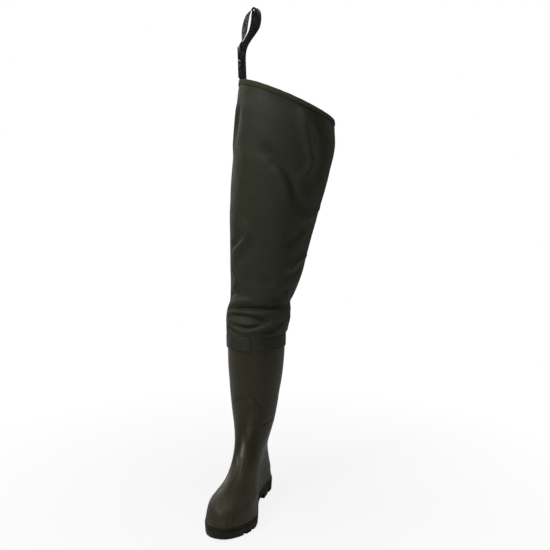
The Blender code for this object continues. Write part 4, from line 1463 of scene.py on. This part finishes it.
LAMPS = (
    Lamp("key", (-1.3, -2.0, 3.0), (0.0, 0.0, 0.6), 1.0, 1.0, 53.0),
    Lamp("fill", (0.9, -2.6, 0.8), (0.0, 0.0, 0.4), 0.8, 0.8, 5.5),
    Lamp("left_rim", (-2.0, 1.5, 1.2), (0.0, 0.0, 0.5), 0.5, 2.0, 6.2),
    Lamp("right_rim", (1.9, 1.8, 1.0), (0.0, 0.0, 0.5), 0.5, 2.0, 2.1),
    Lamp("left_overhead", (-1.10, -0.07, 1.85), (0.0, -0.1, 0.2), 0.26, 0.26, 3.4),
    Lamp("right_overhead", (0.42, -0.16, 2.20), (0.0, -0.1, 0.2), 0.26, 0.26, 5.0),
    Lamp("top", (0.2, -0.5, 3.4), (0.0, 0.0, 0.4), 1.6, 1.6, 12.0),
)


@dataclass
class Studio:
    """Pale floor, soft lights and the camera at the photo's angle."""

    azimuth: float = 18.13
    distance: float = 1.3946
    height: float = 0.6124
    yaw: float = 16.6
    pitch: float = 4.36
    focal_pixels: float = 608.2
    picture: float = 550.0
    sensor: float = 36.0
    floor_side: float = 9.0
    floor_grey: float = 0.62
    fade_start: float = 0.15
    fade_end: float = 0.9
    fade_low: float = 0.87
    world_light: float = 0.11

    def build(self) -> None:
        """Set up the camera, the floor, the world and the lights."""
        camera = bpy.data.cameras.new("camera")
        camera.lens = self.sensor * self.focal_pixels / self.picture
        camera.sensor_width = self.sensor
        view = link("camera", camera)
        angle = math.radians(self.azimuth)
        view.location = (self.distance * math.sin(angle), -self.distance * math.cos(angle),
                         self.height)
        view.rotation_euler = (math.radians(90.0 - self.pitch), 0.0, math.radians(self.yaw))
        bpy.context.scene.camera = view
        bpy.context.scene.view_settings.view_transform = "Standard"
        self.floor()
        self.world()
        for lamp in LAMPS:
            self.light(lamp)

    def floor(self) -> None:
        """Large pale plane under the wader, which fades to white further out."""
        mesh = bpy.data.meshes.new("floor")
        side = self.floor_side
        corners = ((-side, -side), (side, -side), (side, side), (-side, side))
        mesh.from_pydata([(x, y, 0.0) for x, y in corners], [], [(0, 1, 2, 3)])
        shader = Shader("floor")
        shader.plug(shader.surface, Base_Color=(*[self.floor_grey] * 3, 1.0), Roughness=0.9,
                    Specular_IOR_Level=0.1)
        reach = shader.node("ShaderNodeVectorMath", {"operation": "LENGTH"}, in0=shader.place)
        fade = shader.node("ShaderNodeMapRange", Value=reach.outputs["Value"],
                           From_Min=self.fade_start, From_Max=self.fade_end,
                           To_Min=self.fade_low, To_Max=1.0)
        path = shader.node("ShaderNodeLightPath")
        share = shader.math("MULTIPLY", fade.outputs[0], path.outputs["Is Camera Ray"])
        glow = shader.node("ShaderNodeEmission", Color=(1.0, 1.0, 1.0, 1.0), Strength=1.0)
        mixed = shader.node("ShaderNodeMixShader", in0=share, in1=shader.surface.outputs[0],
                            in2=glow.outputs[0])
        shader.plug(shader.tree.nodes["Material Output"], Surface=mixed.outputs[0])
        mesh.materials.append(shader.material)
        link("floor", mesh)

    def world(self) -> None:
        """White behind the wader, softer grey as its light."""
        world = bpy.data.worlds.new("studio")
        world.use_nodes = True
        graph = Graph(world.node_tree)
        graph.tree.nodes.clear()
        path = graph.node("ShaderNodeLightPath")
        strength = graph.node("ShaderNodeMapRange", Value=path.outputs["Is Camera Ray"],
                              To_Min=self.world_light, To_Max=1.0)
        back = graph.node("ShaderNodeBackground", Color=(1.0, 1.0, 1.0, 1.0),
                          Strength=strength.outputs[0])
        graph.node("ShaderNodeOutputWorld", in0=back.outputs[0])
        bpy.context.scene.world = world

    def light(self, lamp: Lamp) -> None:
        """Add one soft area light."""
        made = bpy.data.lights.new(lamp.name, "AREA")
        made.shape = "RECTANGLE"
        made.size, made.size_y, made.energy = lamp.width, lamp.height, lamp.power
        holder = link(lamp.name, made)
        holder.location = lamp.place
        way = Vector(lamp.aim) - Vector(lamp.place)
        holder.rotation_euler = way.to_track_quat("-Z", "Y").to_euler()


def main() -> None:
    """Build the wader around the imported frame."""
    logging.basicConfig(level=logging.INFO, format="%(name)s: %(message)s")
    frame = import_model()
    nodes = frame["nodes"]
    Studio().build()
    looks()
    Sole().build(nodes)
    boot = Boot()
    boot.build()
    leg = Leg(boot)
    leg.build()
    Straps(leg).build(nodes)


if __name__ == "__main__":
    main()
